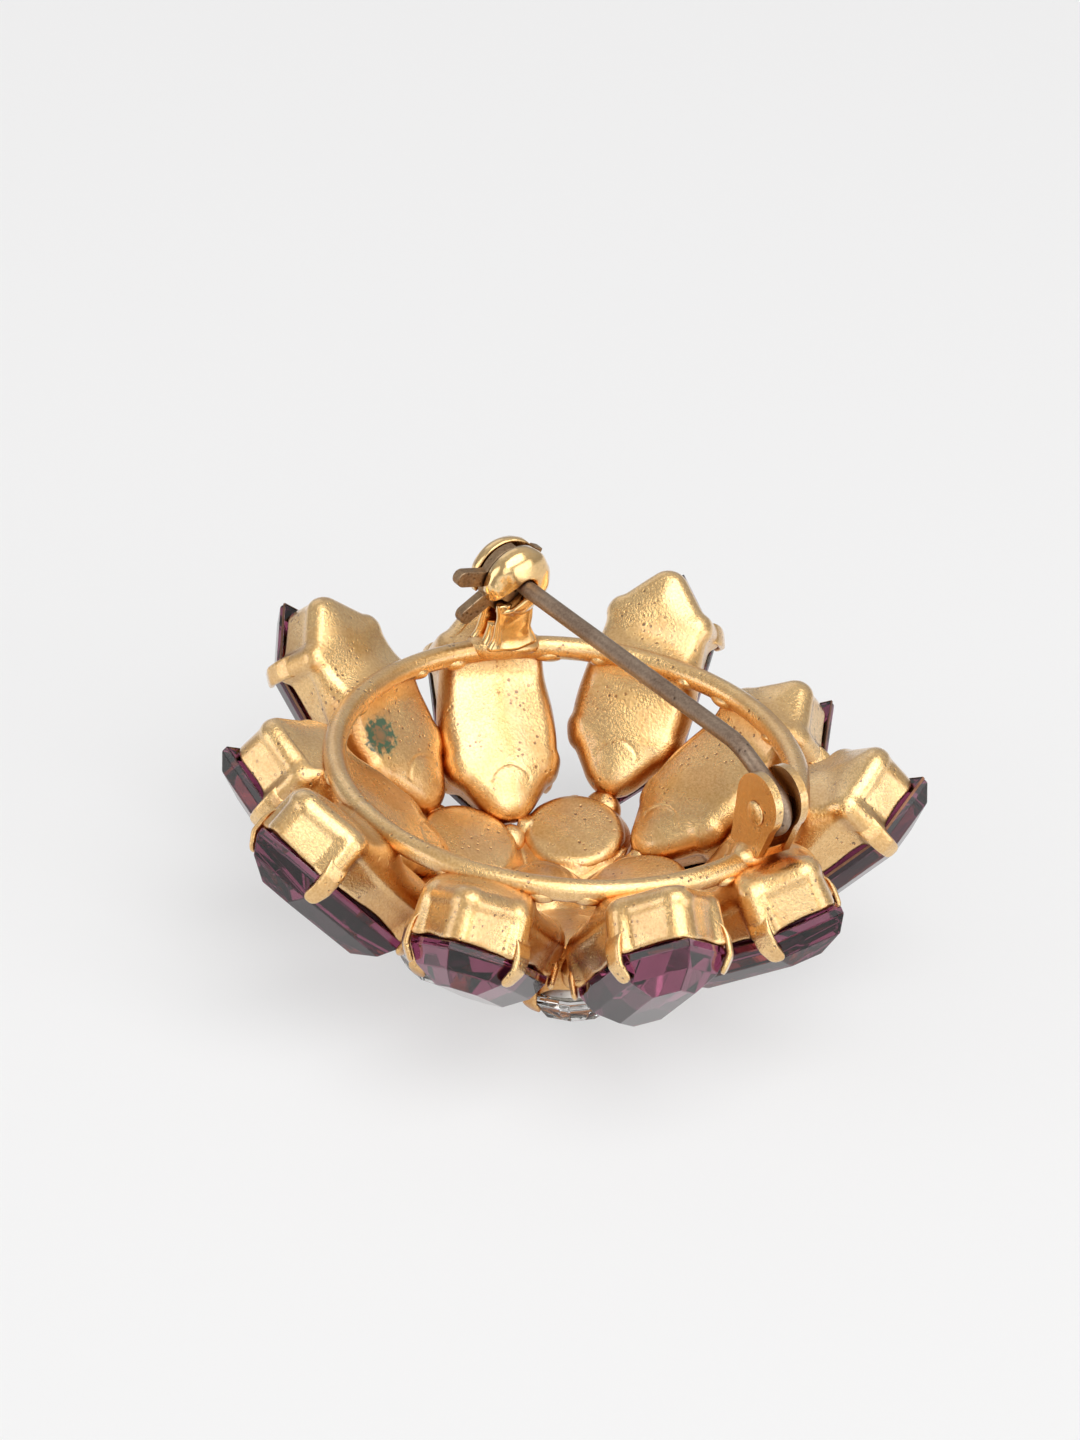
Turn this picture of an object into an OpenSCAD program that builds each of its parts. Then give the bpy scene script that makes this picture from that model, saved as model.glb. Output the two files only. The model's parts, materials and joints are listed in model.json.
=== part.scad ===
// Flower brooch that lies on its stones, back up: ten long petal stones in two tiers of
// five and a rosette of clear stones, each in a claw cup, soldered under a wire ring.
// The ring carries a pin hinge at +X and a roll-over safety catch at -X.
// Millimetres, +Z up (the brooch's back), z = 0 on the tables of the clear stones.

/* [Backing ring] */
// Radius of the ring, to the middle of its wire
ring_r = 15.5; // [15.3:0.1:16.5]
// Thickness of the ring wire
ring_wire_d = 1.5; // [1.2:0.1:1.8]
// Film of solder between pieces that are soldered together
solder_film = 0.05; // [0.02:0.01:0.08]

/* [Petal stones] */
// Length of a petal stone from tip to tip
stone_l = 17.4; // [16.8:0.1:17.6]
// Width of a petal stone
stone_w = 7.2; // [6.6:0.1:7.4]
// Length of the pointed part at each end
stone_point = 4; // [3.7:0.1:4.3]
// Thickness of the girdle, the stone's upright edge
girdle_t = 0.5; // [0.3:0.1:0.7]
// Height of the steep step of the crown, beside the girdle
step_h = 1.2; // [0.8:0.1:1.4]
// How far the steep step leans in
step_in = 0.7; // [0.5:0.1:0.9]
// Height of the shallow step of the crown, beside the table
slope_h = 1.0; // [0.6:0.1:1.2]
// How far the shallow step leans in
slope_in = 1.5; // [1.2:0.1:1.7]
// Depth of the foiled back of the stone, hidden in its cup
foil_h = 2.4; // [1.6:0.1:2.8]
// How far the foiled back leans in
foil_in = 1.8; // [1.2:0.1:2]

/* [Petal cups] */
// Depth of a petal cup, from its back to its rim
cup_depth = 4.1; // [3.8:0.1:4.4]
// Thickness of the cup's side walls
cup_wall = 0.6; // [0.5:0.05:0.7]
// Thickness of the cup's back
cup_back_t = 0.7; // [0.5:0.1:0.9]
// Radius of the rounded edge round the cup's back
cup_round = 1.3; // [0.9:0.1:1.5]
// Radius of the cup's upright corners
cup_corner = 0.8; // [0.5:0.1:1.1]
// How much the cup narrows from its rim to its back, each side
cup_draft = 0.15; // [0.05:0.05:0.25]

/* [Claws] */
// Width of a claw
claw_w = 0.95; // [0.7:0.05:1.1]
// Thickness of a claw
claw_t = 0.42; // [0.3:0.02:0.46]
// How far a claw reaches over the stone, along its slope
claw_reach = 1.1; // [0.8:0.1:1.3]
// Gap between a claw and its stone
claw_gap = 0.03; // [0.02:0.01:0.05]

/* [Petal tiers] */
// Slope of the outer tier's petals
outer_slope = 46; // [45:0.5:47]
// How far the outer petals' inner tips stand outside the middles of the round cups
outer_tuck = 3; // [2.9:0.1:3.4]
// How far the inner petals' inner tips stand outside the middles of the round cups
inner_tuck = 0.1; // [0:0.1:0.5]
// How far the inner petals' inner tips stand over the middles of the round cups
inner_over = 0.6; // [0.5:0.1:0.9]

/* [Rosette] */
// Radius of the rosette, to the middle of the round cups' backs
rose_r = 6.2; // [6.1:0.1:6.6]
// Tilt of the round cups, outer edge up
rose_tilt = 15; // [12:1:16]
// How far the round cups' backs lie under the outer petals' inner tips
rose_under = 0.8; // [0.7:0.1:1.1]
// Width of a clear stone
clear_d = 7.5; // [7.1:0.1:7.6]
// Space between the widths of the centre stone and of the clear stones round it
centre_gap = 0.15; // [0.1:0.05:0.4]
// Depth of the round cups, from back to rim
round_depth = 4; // [3.7:0.1:4.2]
// Radius of the rounded edge round a round cup's back
round_round = 0.8; // [0.5:0.1:1]
// Thickness of the round cups' sheet
round_wall = 0.5; // [0.4:0.05:0.6]
// Height of a clear stone's crown
clear_crown = 1.6; // [1.3:0.1:1.8]
// Part of a clear stone's width that its flat table takes
clear_table = 0.55; // [0.45:0.05:0.65]

/* [Pin] */
// Thickness of the pin wire
pin_d = 1.2; // [1:0.05:1.25]
// Rise of the pin from the catch towards the hinge, in degrees
pin_rise = 2; // [1:0.5:2.5]
// Distance of the bend before the hinge's rivet
bend_back = 4.2; // [4:0.1:4.6]
// Radius of the bend, to the middle of the wire
bend_r = 5; // [4:0.5:6]
// How far the point stands past the middle of the catch
point_past = 3.6; // [3:0.1:4.5]
// Length of the ground point
point_l = 6.2; // [5.8:0.1:6.6]
// Width of the blunted end of the point
point_tip_d = 0.3; // [0.2:0.05:0.4]

/* [Hinge] */
// Angle on the ring where hinge and catch stand, from the pin's direction
fitting_angle = 18.5; // [18:0.5:19]
// How far the rivet stands outside the middle of the ring wire, along the pin
rivet_out = 0.9; // [0.7:0.1:1.1]
// Height of the rivet over the middle of the ring wire
rivet_h = 3.9; // [3.7:0.1:4.1]
// Thickness of the rivet
rivet_d = 1.2; // [1:0.05:1.3]
// Width of the rivet's heads
rivet_head_d = 2; // [1.7:0.1:2.2]
// Height of the rivet's heads
rivet_head_h = 0.4; // [0.3:0.05:0.5]
// Radial play of the pin's eye on the rivet
eye_play = 0.05; // [0.03:0.01:0.08]
// Thickness of the bracket's sheet
bracket_t = 0.6; // [0.5:0.05:0.7]
// Radius of the bracket's rounded ears
ear_r = 2.1; // [2:0.1:2.3]
// How far the middle of the ears stands over the rivet
ear_up = 0.7; // [0.5:0.1:0.8]
// Length of the bracket's foot from the rivet towards the catch
foot_in = 2.2; // [2:0.1:2.4]
// Length of the bracket's foot from the rivet away from the catch
foot_out = 0.7; // [0.5:0.1:0.8]
// Gap on each side of the pin's eye, between the ears
ear_gap = 0.12; // [0.08:0.02:0.16]

/* [Safety catch] */
// Height of the catch's middle over the middle of the ring wire
catch_h = 5.7; // [5.5:0.1:6]
// Width of the catch's round cheeks
cheek_d = 5.1; // [4.9:0.1:5.4]
// Thickness of the catch over both domed cheeks
catch_t = 4.4; // [4.1:0.1:4.7]
// Thickness of a cheek at its edge
cheek_edge = 0.45; // [0.3:0.05:0.6]
// Width of the slot between the cheeks
slot_w = 1; // [0.9:0.05:1.1]
// Thickness of the rotor
rotor_t = 0.75; // [0.65:0.05:0.8]
// Width of the mouth that the pin springs into
mouth_w = 1.6; // [1.5:0.05:1.7]
// Width of the rotor's hub
hub_d = 3.2; // [3:0.1:3.4]
// Length of the hub's bearing in each cheek
hub_l = 0.45; // [0.3:0.05:0.5]
// Radial play of the hub in the cheeks
hub_play = 0.06; // [0.04:0.01:0.08]
// Depth of the slot between the cheeks, below the catch's middle
slot_deep = 3.4; // [3.1:0.1:3.6]
// Dip of the mouth below the side of the catch, in degrees
mouth_dip = 38; // [34:1:42]
// Reach of the finger lugs from the catch's middle
lug_reach = 4.7; // [4.4:0.1:4.9]
// Width of the finger lugs
lug_w = 1.15; // [1:0.05:1.2]
// Rise of the upper lug over the side of the catch, in degrees
lug_rise = 12; // [10:1:15]
// Angle between the two lugs
lug_spread = 43; // [38:1:46]
// Width of the catch's neck at its waist
neck_d = 2.9; // [2.7:0.1:3.1]
// Width of the catch's foot on the ring
foot_d = 4; // [3.7:0.1:4.3]

/* [Hidden] */
$fn = 48;
// Petals in each tier, and round cups in the rosette
tier_count = 5;
tier_step = 360 / tier_count;
// Direction of the first petal of each tier, seen from the pin's direction
inner_angle = 18;
outer_angle = inner_angle + tier_step / 2;
// Length that passes any piece when it is cut
past = 20;
// Least radius that is left on a corner, and points on each corner's arc
least_corner = 0.15;
corner_steps = 3;
round_steps = 4;
gold = "#d9a441";
amethyst = "#4a1742";
crystal = "#dfe3e6";
bronze = "#7a6450";

// Petal stone and cup
tip_half = atan(stone_w / 2 / stone_point);
claw_turn = 90 - tip_half / 2;
corner_k = 1 / cos(tip_half / 2);
crown_edge = cup_depth + girdle_t;
claw_root = cup_round + claw_t / 2;
petal_seat = ring_wire_d / 2 + solder_film;

// Petal tiers, seen from the side: each petal's back runs from its inner tip, beside the
// rosette, to its seat under the ring wire. Run and drop lead from that wire to the tip.
function back_l(run, drop) = sqrt(run * run + drop * drop - petal_seat * petal_seat);
outer_run = ring_r - rose_r - outer_tuck;
outer_drop = outer_run * tan(outer_slope) + petal_seat / cos(outer_slope);
outer_shift = stone_l / 2 - back_l(outer_run, outer_drop);
rose_drop = outer_drop + rose_under;
inner_run = ring_r - rose_r - inner_tuck;
inner_drop = rose_drop - inner_over;
inner_shift = stone_l / 2 - back_l(inner_run, inner_drop);
inner_slope = atan2(inner_drop, inner_run) - asin(petal_seat / norm([inner_run, inner_drop]));

// Clear stones, and how far the flat of a table lies from the stone's middle
clear_girdle = 0.3;
round_claws = 4;
clear_foil = 2;
foil_end = 0.35;
clear_h = round_depth + clear_girdle + clear_crown;
clear_table_r = clear_d / 2 * clear_table;
centre_d = 2 * (rose_r - centre_gap) - clear_d;
ring_z = rose_drop + clear_h * cos(rose_tilt) + clear_table_r * sin(rose_tilt);

// Hinge and catch places on the ring
catch_x = -ring_r * cos(fitting_angle);
hinge_x = rivet_out - catch_x;
pin_y = ring_r * sin(fitting_angle);
rivet_z = ring_z + rivet_h;
catch_z = ring_z + catch_h;
foot_z = ring_z + petal_seat;
eye_in = rivet_d / 2 + eye_play;
eye_r = eye_in + pin_d / 2;
ear_in = pin_d / 2 + ear_gap;
ear_out = ear_in + bracket_t;

// Pin line in the X-Z plane: straight run, bend, then tangent to the eye
bend_x = hinge_x - bend_back;
bend_z = catch_z + (bend_x - catch_x) * tan(pin_rise);
eye_dist = norm([hinge_x - bend_x, rivet_z - bend_z]);
pin_drop = atan2(rivet_z - bend_z, hinge_x - bend_x) + asin(eye_r / eye_dist);
bend_turn = pin_rise - pin_drop;
bend_tangent = bend_r * tan(bend_turn / 2);
drop_l = sqrt(eye_dist * eye_dist - eye_r * eye_r) - bend_tangent;
straight_l = (bend_x - catch_x) / cos(pin_rise) - bend_tangent + point_past - point_l;
eye_wrap_angle = 250;
// Swell of the wire where two of its runs meet
run_swell = 0.02;

// Safety catch. The rotor's own mouth faces up when the catch is locked, and rolling the
// lugs over the top brings it to the mouth of the body.
cheek_r = cheek_d / 2;
dome_h = (catch_t - slot_w) / 2 - cheek_edge;
dome_r = (cheek_r * cheek_r + dome_h * dome_h) / (2 * dome_h);
dome_arc = asin(cheek_r / dome_r);
dome_steps = 6;
rotor_shy = 0.1;
rotor_r = cheek_r - rotor_shy;
rotor_mouth_angle = 66;
rotor_grip = 0.2;
rotor_mouth_w = mouth_w - rotor_grip;
rotor_flare_angle = 16;
nib_w = 0.7;
nib_proud = 0.1;

// Long six-sided outline of a petal, drawn in by inset on every side
function petal_outline(inset) =
    let (
        half = stone_w / 2 - inset,
        tip = stone_l / 2 - inset / sin(tip_half),
        shoulder = tip - half / tan(tip_half)
    )
    [
        [tip, 0], [shoulder, half], [-shoulder, half],
        [-tip, 0], [-shoulder, -half], [shoulder, -half]
    ];

// The same outline with rounded corners
function soft_outline(inset) =
    let (
        base = max(cup_corner, inset + least_corner),
        corners = petal_outline(base),
        side = 90 - tip_half,
        turns = [-side, side, 90, 180 - side, 180 + side, 270, 360 - side]
    )
    [
        for (i = [0:5])
            for (k = [0:corner_steps])
                let (a = turns[i] + (turns[i + 1] - turns[i]) * k / corner_steps)
                    corners[i] + (base - inset) * [cos(a), sin(a)]
    ];

function at_height(outline, z) = [for (p = outline) [p[0], p[1], z]];

// Closed solid through a stack of outlines with equal point counts, lowest first
module loft(rings) {
    n = len(rings[0]);
    last = len(rings) - 1;
    faces = concat(
        [[for (i = [0:n - 1]) i]],
        [
            for (r = [0:last - 1])
                for (i = [0:n - 1])
                    let (j = (i + 1) % n)
                        [r * n + i, (r + 1) * n + i, (r + 1) * n + j, r * n + j]
        ],
        [[for (i = [n - 1:-1:0]) last * n + i]]
    );
    polyhedron(points = [for (ring = rings) each ring], faces = faces);
}

// Claw in profile: a rib up the cup's wall, then a hook bent over the stone's edge.
// x points out of the wall at the stone's edge, z follows the cup. The stone's slope
// leans in by run over rise.
module claw(wall, root, depth, girdle, run, rise) {
    lean = atan(run / rise);
    edge = -depth - girdle;
    slope = [-sin(lean), -cos(lean)];
    away = [cos(lean), -sin(lean)];
    outside = claw_gap + claw_t;
    hold = -depth + claw_t / 2;
    start = [0, edge] + claw_reach * slope;
    rotate([90, 0, 0])
        linear_extrude(claw_w, center = true)
            polygon([
                [-wall / 2, -root],
                [outside, -root - outside],
                [outside, edge - outside * tan(lean / 2)],
                start + outside * away,
                start + claw_gap * away,
                [claw_gap, edge - claw_gap * tan(lean / 2)],
                [claw_gap, hold],
                [-wall / 2, hold]
            ]);
}

// Puts a petal on its tier: x runs out along the slope, z out of the cup's back
module on_tier(start, i, slope, shift) {
    rotate([0, 0, start + i * tier_step])
        translate([ring_r, 0, ring_z])
            rotate([0, -slope, 0])
                translate([shift, 0, -petal_seat])
                    children();
}

// Pressed sheet cup, mouth down, with a rounded back and four claws at its side corners
module petal_cup() {
    back = [
        for (k = [0:round_steps])
            let (a = 90 * k / round_steps)
                at_height(
                    soft_outline(cup_draft + cup_round * (1 - cos(a))),
                    cup_round * (sin(a) - 1)
                )
    ];
    color(gold) {
        loft(concat(
            [
                at_height(soft_outline(cup_wall), -cup_back_t),
                at_height(soft_outline(cup_wall), -cup_depth),
                at_height(soft_outline(0), -cup_depth)
            ],
            back
        ));
        for (end = [0, 180], side = [0, 1])
            rotate([0, 0, end])
                mirror([0, side, 0])
                    translate(petal_outline(0)[1])
                        rotate([0, 0, claw_turn])
                            claw(cup_wall, claw_root, cup_depth, girdle_t, step_in * corner_k, step_h);
    }
}

// Cut stone: stepped crown and table below, and a foiled back that fills the cup
module petal_stone() {
    seat_in = cup_wall + claw_gap;
    color(amethyst) {
        loft([
            at_height(petal_outline(step_in + slope_in), -crown_edge - step_h - slope_h),
            at_height(petal_outline(step_in), -crown_edge - step_h),
            at_height(petal_outline(0), -crown_edge),
            at_height(petal_outline(0), -cup_depth)
        ]);
        loft([
            at_height(soft_outline(seat_in), -crown_edge),
            at_height(soft_outline(seat_in), -cup_depth),
            at_height(soft_outline(seat_in + foil_in), -cup_depth + foil_h)
        ]);
    }
}

module outer_cup(i) { on_tier(outer_angle, i, outer_slope, outer_shift) petal_cup(); }

module outer_stone(i) { on_tier(outer_angle, i, outer_slope, outer_shift) petal_stone(); }

module inner_cup(i) { on_tier(inner_angle, i, inner_slope, inner_shift) petal_cup(); }

module inner_stone(i) { on_tier(inner_angle, i, inner_slope, inner_shift) petal_stone(); }

// Puts a round setting in the rosette, under the inner end of an outer petal
module in_rosette(i) {
    rotate([0, 0, outer_angle + i * tier_step])
        translate([rose_r, 0, ring_z - rose_drop])
            rotate([0, -rose_tilt, 0])
                children();
}

// Round sheet cup for a stone of width d, back at z = 0, mouth down, with claws all round
module round_setting(d, claws, turn) {
    r = d / 2;
    back_r = r - round_wall / 2;
    arc = [
        for (k = [0:round_steps])
            let (a = 90 * k / round_steps)
                [back_r - round_round * (1 - sin(a)), round_round * (cos(a) - 1)]
    ];
    color(gold) {
        rotate_extrude()
            polygon(concat(
                [[0, 0]],
                arc,
                [
                    [r, -round_depth],
                    [r - round_wall, -round_depth],
                    [r - round_wall, -round_wall - round_round / 2],
                    [r - round_wall - round_round / 2, -round_wall],
                    [0, -round_wall]
                ]
            ));
        for (k = [0:claws - 1])
            rotate([0, 0, turn + k * 360 / claws])
                translate([r, 0, 0])
                    claw(
                        round_wall, round_round + round_wall, round_depth, clear_girdle,
                        r * (1 - clear_table), clear_crown
                    );
    }
}

// Round foiled stone of width d: cone in the cup, girdle, and a crown with flat sides up
// to its table, one of them facing turn
module round_stone(d, sides, turn) {
    r = d / 2;
    flat = 180 / sides;
    edge = round_depth + clear_girdle;
    seat_r = r - round_wall - claw_gap;
    color(crystal) {
        translate([0, 0, -edge])
            cylinder(h = clear_girdle, r = r);
        intersection() {
            translate([0, 0, -edge - clear_crown])
                cylinder(h = clear_crown, r = r);
            translate([0, 0, -edge - clear_crown])
                rotate([0, 0, turn + flat])
                    cylinder(
                        h = clear_crown, r1 = r * clear_table / cos(flat), r2 = r / cos(flat),
                        $fn = sides
                    );
        }
        translate([0, 0, -edge])
            cylinder(h = clear_girdle, r = seat_r);
        translate([0, 0, -round_depth])
            cylinder(h = clear_foil, r1 = seat_r, r2 = seat_r * foil_end);
    }
}

module round_cup(i) { in_rosette(i) round_setting(clear_d, round_claws, 0); }

module clear_stone(i) { in_rosette(i) round_stone(clear_d, 2 * round_claws, 0); }

module centre_cup() { translate([0, 0, clear_h]) round_setting(centre_d, tier_count, inner_angle); }

module centre_stone() { translate([0, 0, clear_h]) round_stone(centre_d, 2 * tier_count, inner_angle); }

module backing_ring() {
    color(gold)
        translate([0, 0, ring_z])
            rotate_extrude()
                translate([ring_r, 0])
                    circle(d = ring_wire_d);
}

// Bracket bent from sheet: a foot on the ring and two ears with the rivet's holes
module hinge_bracket() {
    ear_h = rivet_z - foot_z;
    color(gold)
        translate([hinge_x, pin_y, foot_z])
            difference() {
                union() {
                    translate([-foot_in, -ear_out, 0])
                        cube([foot_in + foot_out, 2 * ear_out, bracket_t]);
                    for (side = [-1, 1])
                        translate([0, side * (ear_in + ear_out) / 2, 0])
                            rotate([90, 0, 0])
                                linear_extrude(bracket_t, center = true) {
                                    translate([0, ear_h + ear_up])
                                        circle(ear_r);
                                    polygon([
                                        [-foot_in, 0], [foot_out, 0],
                                        [ear_r, ear_h + ear_up], [-ear_r, ear_h + ear_up]
                                    ]);
                                }
                }
                translate([0, 0, ear_h])
                    rotate([90, 0, 0])
                        cylinder(h = past, d = rivet_d, center = true);
            }
}

module hinge_rivet() {
    color(gold)
        translate([hinge_x, pin_y, rivet_z])
            rotate([90, 0, 0]) {
                cylinder(h = 2 * (ear_out + rivet_head_h), d = rivet_d, center = true);
                for (side = [0, 1])
                    mirror([0, 0, side])
                        translate([0, 0, ear_out])
                            cylinder(h = rivet_head_h, d1 = rivet_head_d, d2 = rivet_d);
            }
}

// Spring wire: ground point, straight run through the catch, bend, and the eye
module pin_stem() {
    color(bronze)
        translate([bend_x, pin_y, bend_z]) {
            rotate([0, 90 - pin_rise, 0])
                translate([0, 0, -bend_tangent]) {
                    sphere(d = pin_d + run_swell);
                    translate([0, 0, -straight_l])
                        cylinder(h = straight_l, d = pin_d);
                    translate([0, 0, -straight_l - point_l])
                        cylinder(h = point_l, d1 = point_tip_d, d2 = pin_d);
                }
            rotate([90, 0, 0])
                rotate([0, 0, pin_rise])
                    translate([-bend_tangent, -bend_r])
                        rotate([0, 0, 90 - bend_turn])
                            rotate_extrude(angle = bend_turn)
                                translate([bend_r, 0])
                                    circle(d = pin_d);
            rotate([0, 90 - pin_drop, 0])
                translate([0, 0, bend_tangent]) {
                    sphere(d = pin_d + run_swell);
                    cylinder(h = drop_l, d = pin_d);
                    translate([0, 0, drop_l])
                        sphere(d = pin_d + run_swell);
                }
            translate([hinge_x - bend_x, 0, rivet_z - bend_z])
                rotate([90, 0, 0])
                    rotate([0, 0, 90 + pin_drop - eye_wrap_angle])
                        rotate_extrude(angle = eye_wrap_angle)
                            translate([eye_r, 0])
                                circle(d = pin_d);
        }
}

// Turned catch: two domed cheeks on a waisted neck, slotted for the rotor, with the
// pin's mouth open towards -Y and a bearing for the rotor's hub in each cheek
module catch_body() {
    dome = [
        for (k = [0:dome_steps])
            let (a = dome_arc * (1 - k / dome_steps))
                [dome_r * sin(a), catch_t / 2 - dome_r * (1 - cos(a))]
    ];
    foot_low = foot_z - catch_z;
    neck_top = -hub_d / 2;
    bearing_l = slot_w + 2 * (hub_l + hub_play);
    color(gold)
        translate([catch_x, pin_y, catch_z])
            difference() {
                union() {
                    rotate([0, 90, 0])
                        rotate_extrude()
                            polygon(concat(
                                [[0, -catch_t / 2]],
                                [for (k = [dome_steps - 1:-1:0]) [dome[k][0], -dome[k][1]]],
                                [for (k = [0:dome_steps]) dome[k]]
                            ));
                    rotate_extrude()
                        polygon([
                            [0, foot_low],
                            [foot_d / 2, foot_low],
                            [neck_d / 2, -cheek_r - neck_d / 4],
                            [neck_d / 2 + cheek_edge / 2, neck_top],
                            [0, neck_top]
                        ]);
                }
                translate([-slot_w / 2, -past / 2, -slot_deep])
                    cube([slot_w, past, past]);
                rotate([0, 90, 0])
                    cylinder(h = bearing_l, d = hub_d + 2 * hub_play, center = true);
                rotate([0, 90, 0])
                    cylinder(h = past, d = mouth_w, center = true);
                rotate([mouth_dip, 0, 0])
                    translate([-past / 2, -past, -mouth_w / 2])
                        cube([past, past, mouth_w]);
            }
}

// Flat rotor with a hub that turns in the cheeks: a mouth with flared lips, a nib at one
// lip, and two finger lugs. x is the part's Y here, and y its Z.
module catch_rotor() {
    color(bronze)
        translate([catch_x, pin_y, catch_z])
            rotate([90, 0, 90])
                difference() {
                    union() {
                        cylinder(h = slot_w + 2 * hub_l, d = hub_d, center = true);
                        linear_extrude(rotor_t, center = true) {
                            circle(rotor_r);
                            rotate(rotor_mouth_angle)
                                translate([0, -rotor_mouth_w / 2 - nib_w])
                                    square([rotor_r + nib_proud, nib_w]);
                            for (turn = [-lug_rise, lug_spread - lug_rise])
                                rotate(180 + turn)
                                    translate([0, -lug_w / 2]) {
                                        square([lug_reach - lug_w / 2, lug_w]);
                                        translate([lug_reach - lug_w / 2, lug_w / 2])
                                            circle(d = lug_w);
                                    }
                        }
                    }
                    cylinder(h = past, d = rotor_mouth_w, center = true);
                    rotate(rotor_mouth_angle)
                        linear_extrude(past, center = true)
                            polygon([
                                [0, -rotor_mouth_w / 2],
                                [past, -rotor_mouth_w / 2],
                                [past, rotor_mouth_w / 2 + (past - hub_d / 2) * tan(rotor_flare_angle)],
                                [hub_d / 2, rotor_mouth_w / 2],
                                [0, rotor_mouth_w / 2]
                            ]);
                }
}

backing_ring();
hinge_bracket();
hinge_rivet();
pin_stem();
catch_body();
catch_rotor();
for (i = [0:tier_count - 1]) {
    outer_cup(i);
    outer_stone(i);
    inner_cup(i);
    inner_stone(i);
    round_cup(i);
    clear_stone(i);
}
centre_cup();
centre_stone();
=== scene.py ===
import json

import bmesh
import bpy
import numpy as np
from mathutils import Matrix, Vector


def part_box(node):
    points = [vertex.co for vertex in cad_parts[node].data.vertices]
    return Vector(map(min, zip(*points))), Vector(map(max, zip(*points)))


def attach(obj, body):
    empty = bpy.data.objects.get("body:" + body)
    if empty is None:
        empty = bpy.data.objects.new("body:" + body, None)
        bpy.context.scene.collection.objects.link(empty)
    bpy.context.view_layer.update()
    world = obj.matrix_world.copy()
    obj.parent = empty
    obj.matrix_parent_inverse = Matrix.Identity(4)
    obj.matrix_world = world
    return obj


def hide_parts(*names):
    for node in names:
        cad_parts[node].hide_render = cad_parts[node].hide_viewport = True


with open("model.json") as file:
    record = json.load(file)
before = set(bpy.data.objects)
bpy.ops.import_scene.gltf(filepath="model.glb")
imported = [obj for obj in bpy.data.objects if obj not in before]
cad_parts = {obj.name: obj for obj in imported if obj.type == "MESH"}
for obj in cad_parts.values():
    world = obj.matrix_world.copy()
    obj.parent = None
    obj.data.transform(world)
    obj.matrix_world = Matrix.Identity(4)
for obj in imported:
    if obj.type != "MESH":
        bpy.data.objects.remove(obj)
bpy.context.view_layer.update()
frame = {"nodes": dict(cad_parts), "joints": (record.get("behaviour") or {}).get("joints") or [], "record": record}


# Backing ring
# One loop of round brass wire, closed by a butt joint and plated with matt gold. Every cup
# and fitting of the brooch is soldered to it. Sizes are in millimetres, as on the real piece.
MM = 0.001
ring_low, ring_high = (np.array(corner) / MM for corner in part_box("backing_ring"))
ring_wire = ring_high[2] - ring_low[2]
ring_r = ring_high[0] - ring_wire / 2
ring_z = (ring_high[2] + ring_low[2]) / 2
ring_plating, ring_uneven, ring_waves, ring_phase = 0.04, 0.010, 5, 1
joint_angle, joint_step, groove_deep = np.radians(265), 0.09, 0.10
joint_fade, groove_half = 0.10, 0.011  # in radians round the ring


def fill(tree, node, inputs):
    """Gives a shader node its inputs, by name or number: a value is set, and an output is linked."""
    for key, value in inputs.items():
        if isinstance(value, bpy.types.NodeSocket):
            tree.links.new(value, node.inputs[key])
        else:
            node.inputs[key].default_value = value


def add(tree, kind, inputs=None, **settings):
    """Adds a shader node with its settings and inputs."""
    made = tree.nodes.new(kind)
    for key, value in settings.items():
        setattr(made, key, value)
    fill(tree, made, inputs or {})
    return made


def reckon(tree, operation, first, second):
    """Output of a Math node on two values or sockets."""
    return add(tree, "ShaderNodeMath", {0: first, 1: second}, operation=operation).outputs[0]


def ramp(tree, value, low, high, out_low=0.0, out_high=1.0):
    """Output that goes smoothly from out_low to out_high as value goes from low to high."""
    inputs = {"Value": value, "From Min": low, "From Max": high, "To Min": out_low, "To Max": out_high}
    return add(tree, "ShaderNodeMapRange", inputs, interpolation_type="SMOOTHSTEP").outputs["Result"]


def mixed(tree, factor, first, second):
    """Colour that goes from the first to the second as the factor goes from 0 to 1."""
    return add(tree, "ShaderNodeMix", {0: factor, 6: first, 7: second}, data_type="RGBA").outputs[2]


def new_group(name, inputs, outputs):
    """Empty shader node group with the named sockets, and its two end nodes."""
    group = bpy.data.node_groups.new(name, "ShaderNodeTree")
    for way, sockets in (("INPUT", inputs), ("OUTPUT", outputs)):
        for label, kind in sockets:
            group.interface.new_socket(label, in_out=way, socket_type="NodeSocket" + kind)
    return group, group.nodes.new("NodeGroupInput"), group.nodes.new("NodeGroupOutput")


pit_edge, pit_share, pit_patch, pit_depth = (0.36, 0.16), (0.5, 0.85), (0.45, 0.60), 1.2
noise_middle = (0.35, 0.65)


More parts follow.
